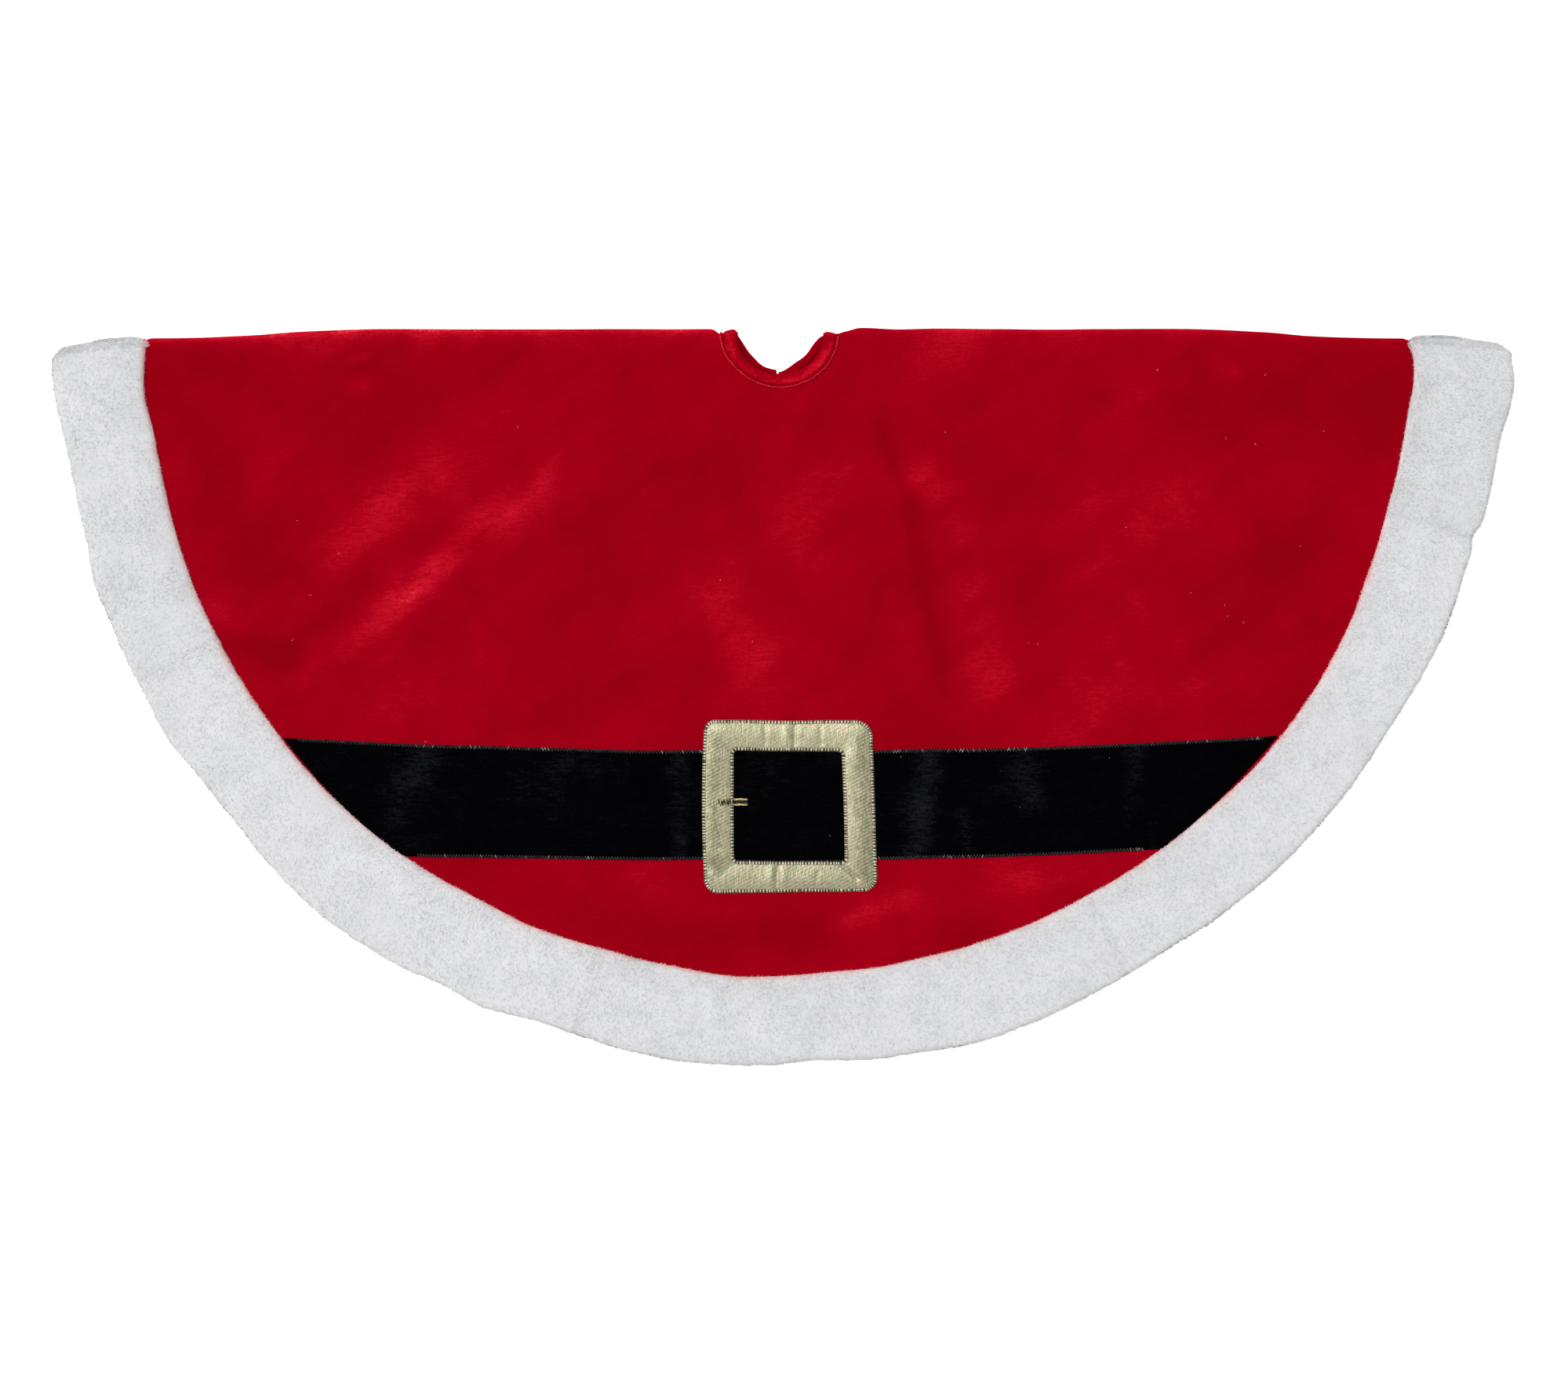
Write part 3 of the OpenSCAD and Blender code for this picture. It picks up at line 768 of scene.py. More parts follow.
def trim_surface(part, start, end, fold_start, fold_end, seam_least=0.86):
    """Rows round the roll and columns along it, for the trim from angle start to end in degrees.

    seam_least is the share of its thickness that the roll keeps where it is gathered in at a seam.
    """
    columns = max(8, int(math.radians(end - start) * SKIRT_R / 0.0026))
    theta = np.radians(np.linspace(start, end, columns))
    section = roll_section()
    u, up, na, nu = (section[:, k][:, None] for k in range(4))
    inner = TRIM_R + rim(theta, part, True)
    outer = SKIRT_R + rim(theta, part, False)
    middle = (TRIM_TOP + TRIM_BOTTOM) / 2
    half = (TRIM_TOP - TRIM_BOTTOM) / 2
    closing = np.ones(columns)
    for distance, at_fold in ((theta - theta[0], fold_start), (theta[-1] - theta, fold_end)):
        at_fold_least = 0.80 if part == "front" else 0.62
        reach, least = (0.004, at_fold_least) if at_fold else (0.0045, seam_least)
        near = np.clip(1 - distance * SKIRT_R / reach, 0, 1)
        closing = closing * (least + (1 - least) * np.sqrt(1 - near ** 2))
    r = inner + (outer - inner) * u
    crown = (0.9 if part == "front" else 0.1) * MM * np.clip(1 - (2 * u - 1) ** 2, 0, 1) * (up > 0)
    z = middle + half * up * closing + crown
    p = xyz(r * np.cos(theta), r * np.sin(theta), z)
    normal = xyz(na * np.cos(theta), na * np.sin(theta), nu + 0 * theta)
    seed = NOISE_SEED[part] + 60
    swell = 0.42 * fractal(p, 0.040, seed, 2) + 0.08 * noise(p, 0.010, seed + 3)
    swell = np.where(nu < -0.5, 0.15 * swell, swell)
    if part != "front":
        swell = np.minimum(swell, 0.25)
    return p + normal * (swell * MM)[..., None], theta


def evened(normals, points):
    """Normals tilted away from the plane of the fold: light that scatters in the pile evens its shading."""
    from_fold = np.abs(points[:, 1:2] + bow(points[:, :1]))
    upright = UPRIGHT + FOLD_UPRIGHT * (1 - smooth((from_fold - 5 * MM) / (6 * MM)))
    tilt = upright * np.clip(points[:, 2:] / (1.5 * MM), -1, 1)
    normals = normals + tilt * np.array([0, 0, 1])
    return normals / np.maximum(np.linalg.norm(normals, axis=-1)[:, None], 1e-12)


# How far the pile's shading normals tilt up, and how much further near the fold
UPRIGHT = 0.85
FOLD_UPRIGHT = 2.4


def pile(grid, count, length, width, seed, weight, lift):
    """Short tapered fibres on a closed grid (rows round it, columns along it).

    Returns points, faces, each point's tip value, which is painted shade that darkens the fibres towards
    their roots, and each point's shading normal.
    Each fibre is wound so that its front is the side that its shading normal points to.
    """
    pick = np.random.default_rng(seed)
    wrapped = np.concatenate([grid, grid[:1]])
    a, b = wrapped[:-1, :-1], wrapped[1:, :-1]
    c, d = wrapped[1:, 1:], wrapped[:-1, 1:]
    normal = np.cross(c - a, b - d)
    area = np.linalg.norm(normal, axis=-1)
    away = a - grid.mean(axis=0)[None, :-1]
    outwards = 1 if (away * normal).sum() > 0 else -1
    normal = outwards * normal / np.maximum(area, 1e-12)[..., None]
    chance = area * weight
    chosen = pick.choice(area.size, count, p=(chance / chance.sum()).ravel())
    a, b, c, d, normal = (q.reshape(-1, 3)[chosen] for q in (a, b, c, d, normal))
    u, v = pick.random((2, count, 1))
    root = a * (1 - u) * (1 - v) + b * u * (1 - v) + c * u * v + d * (1 - u) * v
    flow = np.stack([noise(root, 0.03, seed + k) for k in (1, 2, 3)], axis=-1)
    out = root * np.array([1, 1, 0])
    out = out / np.linalg.norm(out, axis=-1)[:, None]
    swirl = 0.8 * flow + 0.35 * out + pick.normal(0, 0.35, (count, 3))
    swirl = swirl - (swirl * normal).sum(-1)[:, None] * normal
    swirl = swirl / (np.linalg.norm(swirl, axis=-1)[:, None] + 1e-9)
    size = length * (0.65 + 0.6 * pick.random((count, 1)))
    wide = width * (0.6 + 0.7 * pick.random((count, 1)))
    side = np.cross(normal, swirl) + 0.25 * pick.normal(0, 1, (count, 3))
    side = side / np.linalg.norm(side, axis=-1)[:, None] * wide / 2
    rise = lift * (0.6 + 0.8 * pick.random((count, 1))) * (1 + 0.9 * (1 - np.abs(normal[:, 2:])))
    middle = root + size * 0.5 * (rise * normal + 0.6 * swirl)
    tip = middle + size * 0.5 * (0.35 * rise * normal + 1.0 * swirl)
    root = root - 0.3 * MM * normal
    points = np.stack([root - side, root + side, middle - side * 0.8, middle + side * 0.8, tip], axis=1)
    first = np.arange(count)[:, None] * 5
    faces = [first + np.array([0, 2, 3, 1]), first + np.array([2, 4, 3])]
    own = 0.14 * pick.normal(0, 1, (count, 1))
    # Painted shade deep in the pile: each fibre darker at its root than at its tip
    values = np.clip(np.array([0.35, 0.35, 0.55, 0.55, 0.85]) + own, -0.6, 1.6)
    shading = evened(normal + 0.08 * pick.normal(0, 1, (count, 3)) + 0.10 * swirl, root)
    facing = (np.cross(points[:, 2] - points[:, 1], points[:, 3] - points[:, 0]) * shading).sum(axis=-1)
    for group in faces:
        group[facing < 0] = group[facing < 0, ::-1]
    return points.reshape(-1, 3), faces, values.ravel(), np.repeat(shading, 5, axis=0)


def from_inner_edge(points, part):
    """How far the trim's points lie from its wavy inner edge, in metres."""
    theta = np.arctan2(points[:, 1], points[:, 0]) % (2 * math.pi)
    edge = TRIM_R + rim(theta if part == "front" else 2 * math.pi - theta, part, True)
    return np.hypot(points[:, 0], points[:, 1]) - edge


def pile_tone(points, inwards, shade):
    """Added to the tip values: each piece's own shade, painted glints, and painted shade along the sewn
    inner edge with a painted highlight right at that edge.
    """
    share = inwards / TRIM_W
    glint = np.clip(noise(points, 0.020, 141) - 0.35, 0, 1)
    glint = glint * smooth(share / 0.3) * smooth((1 - share) / 0.3)
    # Painted shade over the pile by the seam, and a painted highlight right at the inner edge
    seam_shade = hump(np.clip(share, 0, 1), 0, 0.22)
    edge_highlight = 1.9 * np.exp(-np.clip(inwards, 0, 1) / (2.6 * MM))
    return shade - (seam_shade - edge_highlight) + 1.2 * glint


def furry(name, grid, fibres, part, shade=0.0):
    """A closed roll and its fibres as one mesh. fibres is what pile() returned."""
    points, base = closed_roll(grid)
    normals = evened(smooth_normals(points, base[0]), points)
    fibre_points, fibre_faces, fibre_depth_shade, fibre_normals = fibres
    faces = base + [f + len(points) for f in fibre_faces]
    # Painted shade deep in the pile: the roll itself at a middle value, the fibres as pile() gives them
    pile_depth_shade = np.concatenate([np.full(len(points), 0.5), fibre_depth_shade])
    points = np.concatenate([points, fibre_points])
    inwards = from_inner_edge(points, part)
    # Painted red light along the inner edge, where the red velvet shows through the thin pile; less of it
    # at the right end
    red_light_through_pile = np.exp(-np.clip(inwards, 0, 1) / (2.1 * MM)) * (0.75 + 0.45 * noise(points, 0.012, 143))
    red_light_through_pile = red_light_through_pile * (1 - 0.6 * smooth((points[:, 0] - 0.49) / 0.03))
    values = {"tip": pile_depth_shade + pile_tone(points, inwards, shade), "red_light_through_pile": red_light_through_pile}
    made = build(name, points, faces, PLUSH, values)
    made.data.normals_split_custom_set_from_vertices(np.concatenate([normals, fibre_normals]).tolist())
    return made


def smooth_normals(points, quads):
    a, b, c, d = (points[quads[:, k]] for k in range(4))
    face = np.cross(c - a, d - b)
    total = np.zeros_like(points)
    for k in range(4):
        np.add.at(total, quads[:, k], face)
    length = np.linalg.norm(total, axis=-1)[:, None]
    return total / np.maximum(length, 1e-12)


# Each length of trim: node, part, first and last angle in degrees, and how much lighter it is
TRIM_PIECES = (
    ("front_trim_left_end", "front", 180, 208.5, -0.05),
    ("front_trim_left", "front", 208.5, 253.5, 0.35),
    ("front_trim_centre", "front", 253.5, 298.5, -0.05),
    ("front_trim_right", "front", 298.5, 343.5, 0.0),
    ("front_trim_right_end", "front", 343.5, 360, -0.60),
    ("right_wing_trim_fold_end", "right", 0, 28.5, 0.1),
    ("right_wing_trim", "right", 28.5, 73.5, -0.2),
    ("right_wing_trim_slit_end", "right", 73.5, 90, 0.0),
    ("left_wing_trim_slit_end", "left", 90, 118.5, 0.2),
    ("left_wing_trim", "left", 118.5, 163.5, -0.1),
    ("left_wing_trim_fold_end", "left", 163.5, 180, 0.1),
)


def trim(name, part, start, end, shade, seed):
    """One cut length of plush trim, sewn over the panel's edge."""
    slit = math.degrees(SLIT / SKIRT_R)
    start, end = (a - SIDES[part] * slit if a == 90 else a for a in (start, end))
    grid, theta = trim_surface(part, start, end, start in (0, 180), end in (180, 360))
    laid = lay(grid, part)
    section = roll_section()
    facing = section[:, 3][:, None]
    edge = np.abs(section[:, 2])[:, None]
    weight = np.where(facing < -0.6, 0.04, 1.0) * (1 + 0.8 * edge)
    near_end = np.minimum(theta - theta[0], theta[-1] - theta)[None, :-1] * SKIRT_R
    weight = weight * (1 + 0.9 * hump(near_end, 0, 0.004))
    dense = 650_000 if part == "front" else 260_000
    count = int(dense * math.radians(end - start) * (SKIRT_R ** 2 - TRIM_R ** 2) / 2)
    fibres = pile(laid, count, 3.0 * MM, 0.50 * MM, seed, weight, 0.27 if part == "front" else 0.20)
    made = furry(name, laid, fibres, part, shade)
    fasten(made, part, name)
    return made


SQUARENESS = 0.8


def trim_bridge(wing):
    """The trim's fur where it goes round the fold, between the front's end piece and the wing's."""
    side = SIDES[wing]
    x = np.linspace(TRIM_R - (0.0085 if side > 0 else 0.0050), SKIRT_R - 0.001, 36)
    phi = np.radians(np.concatenate([[0, 0], np.linspace(4, 176, 22), [180, 180]]))
    overlap = np.concatenate([[3.4, 1.6], np.full(22, 0.3), [1.6, 3.4]]) * MM
    xx, pp = np.meshgrid(x, phi, indexing="ij")
    share = (xx - x[0]) / (x[-1] - x[0])
    edge = np.clip(1 - (2 * share - 1) ** 8, 0, 1) ** 0.5
    high = (TRIM_TOP - 0.5 * MM) * (0.66 + 0.34 * edge)
    pp = clear_of_turn(pp, high, FUR_TURN, SQUARENESS)
    deep = (4.6 + (2.2 * (1 - smooth((share - 0.3) / 0.4)) if side > 0 else 0.0)) * MM * edge
    swell = 0.5 * MM * fractal(xyz(xx, pp * 0.006, 0), 0.014, 31 + side, 2)
    c, s = np.cos(pp), np.sin(pp)
    crown = 0.9 * MM * np.clip(1 - (2 * share - 1) ** 2, 0, 1) * smooth(c / 0.6)
    up = high * np.sign(c) * np.abs(c) ** SQUARENESS + crown
    xx = xx - 3 * MM * smooth((share - 0.80) / 0.20) * s ** 2
    outer = xyz(side * xx, (deep + swell) * np.abs(s) ** SQUARENESS - overlap, up)
    inner = outer * np.array([1, 0.2, 0.8]) - np.array([0, 0.6 * MM, 0])
    loop = settle(np.concatenate([outer, inner[:, ::-1]], axis=1), "front")
    grid = np.swapaxes(loop, 0, 1)
    weight = np.ones((grid.shape[0], grid.shape[1] - 1))
    weight[outer.shape[1]:] = 0.02
    across = outer.shape[1] // 2 - 1
    weight[across - 2:across + 3] *= 1 - smooth((share[:-1, 0] - 0.45) / 0.2)
    fibres = pile(grid, 4400, 2.8 * MM, 0.50 * MM, 90 + side, weight, 0.45)
    name = wing + "_trim_fold_fur"
    made = furry(name, grid, fibres, "front")
    bend_round_fold(made)
    return made


# ---------------------------------------------------------------- the collar

def collar_top(r, theta, part):
    """Height of the collar's upper side over its lower one, from 0 to 1, with small gathers."""
    share = np.clip((r - TRUNK_R) / (COLLAR_R - TRUNK_R), 0, 1)
    roll = np.clip(1 - np.abs(2 * share - 0.92) ** 3.2, 0, 1) ** 0.5
    p = xyz(np.cos(theta) * 0.045, np.sin(theta) * 0.045, r * 0.25)
    gathers = 0.10 * noise(p, 0.006, NOISE_SEED[part] + 80) + 0.10 * noise(p, 0.013, NOISE_SEED[part] + 81)
    groove = 0.34 * hump(share, 0.79, 0.05)
    ridge = 0.42 * hump(share, 0.92, 0.08)
    return roll + gathers * smooth(roll * 1.5) - groove + ridge


FOLD_GAP = 0.014


def collar(part):
    """The rolled velvet binding round the neck."""
    name = node_of(part, "collar_binding")
    low, high = np.radians(SPANS[part])
    slit = SLIT / TRUNK_R
    low, high = low + (slit if part == "left" else 0), high - (slit if part == "right" else 0)
    low, high = low + (FOLD_GAP if part == "right" else 0), high - (FOLD_GAP if part == "left" else 0)
    theta = np.linspace(low, high, 190 if part == "front" else 100)
    share = np.concatenate([np.linspace(0, 1, 26), np.linspace(1, 0, 10)[1:-1]])
    upper = np.arange(len(share)) < 26
    middle = (COLLAR_TOP + COLLAR_BOTTOM) / 2 - 0.4 * MM
    r = (TRUNK_R + (COLLAR_R + 0.8 * MM - TRUNK_R) * share)[:, None] + 0 * theta
    tt = theta[None, :] + 0 * r
    bulge = collar_top(r, tt, part)
    z = np.where(upper[:, None], middle + (COLLAR_TOP - middle) * bulge,
                 middle - (middle - COLLAR_BOTTOM) * np.sin(math.pi * np.clip(share, 0, 1))[:, None])
    inset = 0.5 * noise(xyz(np.cos(tt), np.sin(tt), 0) * 0.045, 0.012, 15) * MM
    inner_edge = (1 - share)[:, None] * inset
    if part != "front":
        from_slit = (tt - low if part == "left" else high - tt) * 0.042
        z = middle + (z - middle) * (0.45 + 0.55 * np.sqrt(1 - np.clip(1 - from_slit / 0.003, 0, 1) ** 2))
    outer_part = (upper & (share > 0.86))[:, None]
    z = np.where(outer_part, np.maximum(z, FACE_Z - 0.1 * MM), z)
    grid = xyz((r + inner_edge) * np.cos(tt), (r + inner_edge) * np.sin(tt), z)
    grid = lay(grid, part)
    turn = np.degrees(theta)
    # Painted light and shade on the collar: lighter at two turns round the neck and along its outer ridge,
    # with painted shade in the groove, on the roll's underside and where it turns in at the inner edge
    lit = 0.45 + 0.65 * hump(turn, 195, 24) + 0.65 * hump(turn, 318, 30)
    collar_light_and_shade = hump(share, 0.48, 0.24)[:, None] * lit + 1.6 * hump(share, 0.93, 0.09)[:, None]
    collar_light_and_shade = collar_light_and_shade - 0.9 * hump(share, 0.79, 0.045)[:, None]
    nap_sheen_and_shade = np.where(upper[:, None], 0.05 + 0.62 * collar_light_and_shade, -0.55) + 0.25 * fractal(grid, 0.008, 41, 2)
    nap_sheen_and_shade = np.minimum(nap_sheen_and_shade + 0.38 * noise(grid, 0.0026, 44), 0.85)
    nap_sheen_and_shade = nap_sheen_and_shade - 0.9 * np.where(upper, hump(share, 0, 0.10), 0)[:, None]
    made = velvet_roll(name, grid, nap_sheen_and_shade)
    fasten(made, part, name)
    return made


def velvet_roll(name, grid, nap_sheen_and_shade):
    """A closed roll of red velvet."""
    points, faces = closed_roll(grid)
    made = build(name, points, faces, RED_VELVET, {"nap_sheen_and_shade": np.swapaxes(nap_sheen_and_shade, 0, 1).reshape(-1)})
    return made


def collar_bridge(wing):
    """The collar's roll where it goes round the fold, between the front and a wing."""
    side = SIDES[wing]
    share = np.linspace(0, 1, 20)
    phi = np.radians(np.linspace(2, 178, 16))
    ss, pp = np.meshgrid(share, phi, indexing="ij")
    x = TRUNK_R - 0.4 * MM + (COLLAR_R - TRUNK_R) * ss
    bulge = collar_top(x, np.full_like(x, math.pi if side < 0 else 0), "front")
    middle = (COLLAR_TOP + COLLAR_BOTTOM) / 2
    high = np.maximum(middle + (COLLAR_TOP - middle) * bulge, np.where(ss > 0.86, FACE_Z, 0)) - 0.1 * MM
    deep = (3.2 + 2.4 * (1 - smooth((ss - 0.15) / 0.75))) * MM * np.clip(bulge, 0.05, 1.1)
    deep = deep * (1.0 if side < 0 else 0.55)
    outer = xyz(side * x, deep * np.sin(pp) - 0.2 * MM, high * np.cos(pp))
    inner = outer * np.array([1, 0.1, 0.7]) - np.array([0, 0.8 * MM, 0])
    grid = np.swapaxes(settle(np.concatenate([outer, inner[:, ::-1]], axis=1), "front"), 0, 1)
    nap_sheen_and_shade = 0.3 + 0.6 * fractal(grid, 0.010, 43, 2)
    name = wing + "_collar_fold"
    made = velvet_roll(name, grid, nap_sheen_and_shade)
    bend_round_fold(made)
    return made


def thread(parts, path, width, tone, height):
    """One stitch along a short path of points: a half-round thread, thinner at both ends."""
    path = np.asarray(path, dtype=float)
    count = len(path)
    along = np.gradient(path, axis=0)
    side = np.cross(along, [0, 0, 1.0])
    side = side / np.maximum(np.linalg.norm(side, axis=1)[:, None], 1e-12)
    share = np.linspace(0, 1, count)
    swell = np.sqrt(np.clip(1 - (2 * share - 1) ** 2, 0, 1)) * 0.75 + 0.25
    half = (width / 2 * swell)[:, None]
    up = np.array([0, 0, 1.0]) * (height * swell)[:, None]
    rows = np.stack([path - side * half, path - side * half * 0.6 + up * 0.8, path + up,
                     path + side * half * 0.6 + up * 0.8, path + side * half], axis=1)
    parts.add(rows, grid_faces(count, 5), tone)


def collar_stitches(part):
    """The line of topstitching that holds the collar's outer edge."""
    name = node_of(part, "collar_topstitch")
    low, high = np.radians(SPANS[part])
    low, high = low + (0.08 if part == "left" else 0.02), high - (0.08 if part == "right" else 0.02)
    radius = COLLAR_R - 1.1 * MM
    middle = (COLLAR_TOP + COLLAR_BOTTOM) / 2 - 0.4 * MM
    count = int(radius * (high - low) / (2.6 * MM))
    stitches = Parts()
    for k in range(count):
        start = low + (high - low) * k / count
        theta = start + np.linspace(0, 1, 5) * (high - low) / count * 0.88
        r = radius + rng.normal(0, 0.15) * MM
        z = middle + (COLLAR_TOP - middle) * collar_top(r + 0 * theta, theta, "front") + 0.05 * MM
        path = xyz(r * np.cos(theta), r * np.sin(theta), z)
        flipped = path if part == "front" else path * [1, -1, 1]
        thread(stitches, settle(flipped, part), 1.25 * MM, 0.35 + 0.65 * rng.random(), 0.45 * MM)
    if part != "front":
        stitches.points = [p * [1, 1, -1] for p in stitches.points]
        stitches.faces = [f[:, ::-1] for f in stitches.faces]
    made = stitches.build(name, RED_THREAD)
    fasten(made, part, name)
    return made


# ---------------------------------------------------------------- the belt

def belt_edges(x):
    """The belt's top and bottom edges, which sag towards the middle of the skirt."""
    left = np.clip(-x / 0.37, 0, 1.2) ** 2
    right = np.clip(x / 0.37, 0, 1.2) ** 2
    p = xyz(np.asarray(x, dtype=float), 0 * x, 0 * x)
    wave = 0.5 * MM * noise(p, 0.06, 51)
    spread = 2.2 * MM * smooth((0.066 - np.abs(x - BUCKLE_X)) / 0.010)
    top = BELT_Y + 46.0 * MM + (8.5 * left + 9.8 * right) * MM + wave + spread
    bottom = BELT_Y - 45.2 * MM + (4.6 * left + 12.5 * right) * MM + 0.6 * wave - spread
    return top, bottom


def on_front(x, y, above, slope=0.8 * MM):
    """The height of a point above the face cloth, or above the belt where that lies."""
    top, bottom = belt_edges(x)
    inside = smooth((top + slope - y) / (2 * slope)) * smooth((y - bottom + slope) / (2 * slope))
    return FACE_Z + relief(x, y, "front") + BELT_T * inside + above


BELT_T = 1.25 * MM
# Painted sheen on the black velvet, in soft bands: start, end and width in metres, and how much lighter it
# is
BELT_SHEEN_STREAKS = (
    ((0.122, -0.352), (0.114, -0.432), 0.013, 0.75),
    ((0.152, -0.400), (0.158, -0.435), 0.006, 0.35),
    ((0.198, -0.350), (0.212, -0.385), 0.011, 0.45),
    ((0.300, -0.345), (0.288, -0.405), 0.009, 0.40),
    ((-0.086, -0.352), (-0.084, -0.435), 0.010, 0.40),
    ((-0.296, -0.350), (-0.330, -0.420), 0.014, 0.38),
    ((-0.180, -0.355), (-0.190, -0.400), 0.014, 0.15),
)


def belt():
    """The black velvet band, from trim to trim."""
    margin = [0, 0.006, 0.014, 0.026]
    across = np.concatenate([margin, np.linspace(0.05, 0.95, 24), [0.974, 0.986, 0.994, 1]])
    along = np.linspace(-1, 1, 300)
    end = np.sqrt((TRIM_R + 9 * MM) ** 2 - (-BELT_Y + (0.5 - across) * BELT_W) ** 2)
    x = end[:, None] * along[None, :]
    top, bottom = belt_edges(x)
    v = across[:, None]
    y = bottom + (top - bottom) * v
    edge = np.clip(np.minimum(v, 1 - v) / 0.016, 0, 1)
    round_edge = np.sqrt(1 - (1 - edge) ** 2)
    z = FACE_Z + relief(x, y, "front") + BELT_T * (0.25 + 0.75 * round_edge)
    upper = xyz(x, y, z)
    lower = xyz(x, y, FACE_Z + relief(x, y, "front") + 0.05 * MM)
    brushed = upper * [0.5, 1, 1]
    # Painted sheen of the black velvet: broad patches and soft bands
    nap_sheen_and_shade = 0.12 * fractal(brushed, 0.05, 61, 3) + 0.16 * fractal(brushed, 0.012, 62, 2)
    for band_top, band_foot, width, value in BELT_SHEEN_STREAKS:
        nap_sheen_and_shade = nap_sheen_and_shade + value * streak(x, y, band_top, band_foot, width) * (1 + 0.5 * noise(brushed, 0.02, 63))
    made = closed_sheet("belt_band", upper, lower, BLACK_VELVET, {"nap_sheen_and_shade": nap_sheen_and_shade})
    fasten(made, "front", "belt_band")
    return made


def belt_stitching(which):
    """Zigzag stitches over one long edge of the belt: mostly black, with a silver glint here and there."""
    name = "belt_" + which + "_stitching"
    sign = 1 if which == "top" else -1
    stitches = Parts()
    pitch = 1.25 * MM
    y_mean = BELT_Y + sign * BELT_W / 2
    reach = math.sqrt(TRIM_R ** 2 - y_mean ** 2)
    count = int(2 * reach / pitch)
    spots = -reach + 2 * reach * (np.arange(count + 1) / count)
    top, bottom = belt_edges(spots)
    edge = top if which == "top" else bottom
    glints = noise(flat_points(spots, edge), 0.012, 71) + rng.normal(0, 0.55, count + 1)
    for k in range(count):
        ends = (0.55, -2.6) if k % 2 else (-2.6, 0.55)
        share = np.linspace(0, 1, 5)
        x = spots[k] + pitch * share
        y = edge[k] + sign * MM * (ends[0] + (ends[1] - ends[0]) * share + rng.normal(0, 0.12))
        z = FACE_Z + relief(x, y, "front") + BELT_T + 0.12 * MM - 0.9 * MM * np.clip(
            sign * (y - edge[k]) / (0.5 * MM), 0, 1)
        tone = 0.06 + 0.05 * rng.random() if glints[k] < 1.0 else 0.25 + 0.5 * rng.random()
        thread(stitches, xyz(x, y, z), 0.55 * MM, tone, 0.3 * MM)
    made = stitches.build(name, SILVER)
    fasten(made, "front", name)
    return made


# ---------------------------------------------------------------- the buckle

BUCKLE_CORNERS = (13.5, 8.5, 11.0, 11.0)
OPENING_CORNERS = (3.5, 3.0, 3.5, 3.0)
# Each crease in the buckle: start, end, width and height in mm, in buckle coordinates
BUCKLE_CREASES = (
    ((4.8, 68.0), (4.8, 48.0), 1.5, -1.9),
    ((-2.0, 67.0), (-2.6, 50.0), 3.0, 0.7),
    ((-20.1, 67.0), (-19.5, 52.0), 1.8, -0.8),
    ((26.4, 66.0), (27.0, 52.0), 1.8, -0.7),
    ((-10.3, -71.0), (-9.6, -48.0), 1.6, -1.7),
    ((-15.5, -68.0), (-15.0, -50.0), 3.0, 0.6),
    ((-4.5, -68.0), (-4.0, -50.0), 3.0, 0.6),
    ((42.5, -47.5), (57.0, -60.5), 1.8, -1.3),
    ((22.0, -68.0), (24.0, -55.0), 1.8, -0.6),
    ((56.5, 30.0), (56.0, -38.0), 5.0, -0.35),
    ((-60.0, 22.0), (-60.5, -34.0), 5.0, -0.30),
    ((-49.0, 49.0), (-56.0, 57.0), 2.4, -0.3),
    ((-49.0, -49.0), (-57.0, -58.0), 2.4, -0.3),
)


def outline(half_x, half_y, corners, per_side=84, per_corner=14):
    """A rounded square, anticlockwise from its right side. Its corners are listed from the top right."""
    signs = ((1, 1), (-1, 1), (-1, -1), (1, -1))
    arcs = []
    for k, ((sx, sy), r) in enumerate(zip(signs, corners)):
        r = r * MM
        a = np.radians(90 * k + np.linspace(0, 90, per_corner))
        arc_x = sx * (half_x - r) + r * np.cos(a)
        arc_y = sy * (half_y - r) + r * np.sin(a)
        arcs.append(np.stack([arc_x, arc_y], axis=-1))
    loop = []
    for k, arc in enumerate(arcs):
        following = arcs[(k + 1) % 4]
        share = np.linspace(0, 1, per_side + 2)[1:-1, None]
        loop += [arc, arc[-1] * (1 - share) + following[0] * share]
    return np.concatenate(loop)


def buckle_lines():
    outer = outline(BUCKLE_HALF - 1.3 * MM, BUCKLE_HALF - 1.3 * MM, BUCKLE_CORNERS)
    inner = outline(BUCKLE_OPENING_HALF - 0.3 * MM, BUCKLE_OPENING_HALF + 0.3 * MM, OPENING_CORNERS)
    for line, seed in ((outer, 81), (inner, 82)):
        p = np.concatenate([line, 0 * line[:, :1]], axis=1)
        line[:, 0] += 0.5 * MM * noise(p, 0.05, seed)
        line[:, 1] += 0.6 * MM * noise(p, 0.05, seed + 5)
    outer[:, 1] += 1.3 * MM * (outer[:, 0] / BUCKLE_HALF) * (outer[:, 1] < 0)
    for line, slant in ((outer, 0.036), (inner, 0.028)):
        line[:, 0] -= slant * line[:, 1] * smooth(line[:, 0] / 0.040)
        line[:, 0] += 1.6 * MM * ((line[:, 1] / 0.06) ** 2 - 0.4) * smooth(-line[:, 0] / 0.040)
    return outer, inner


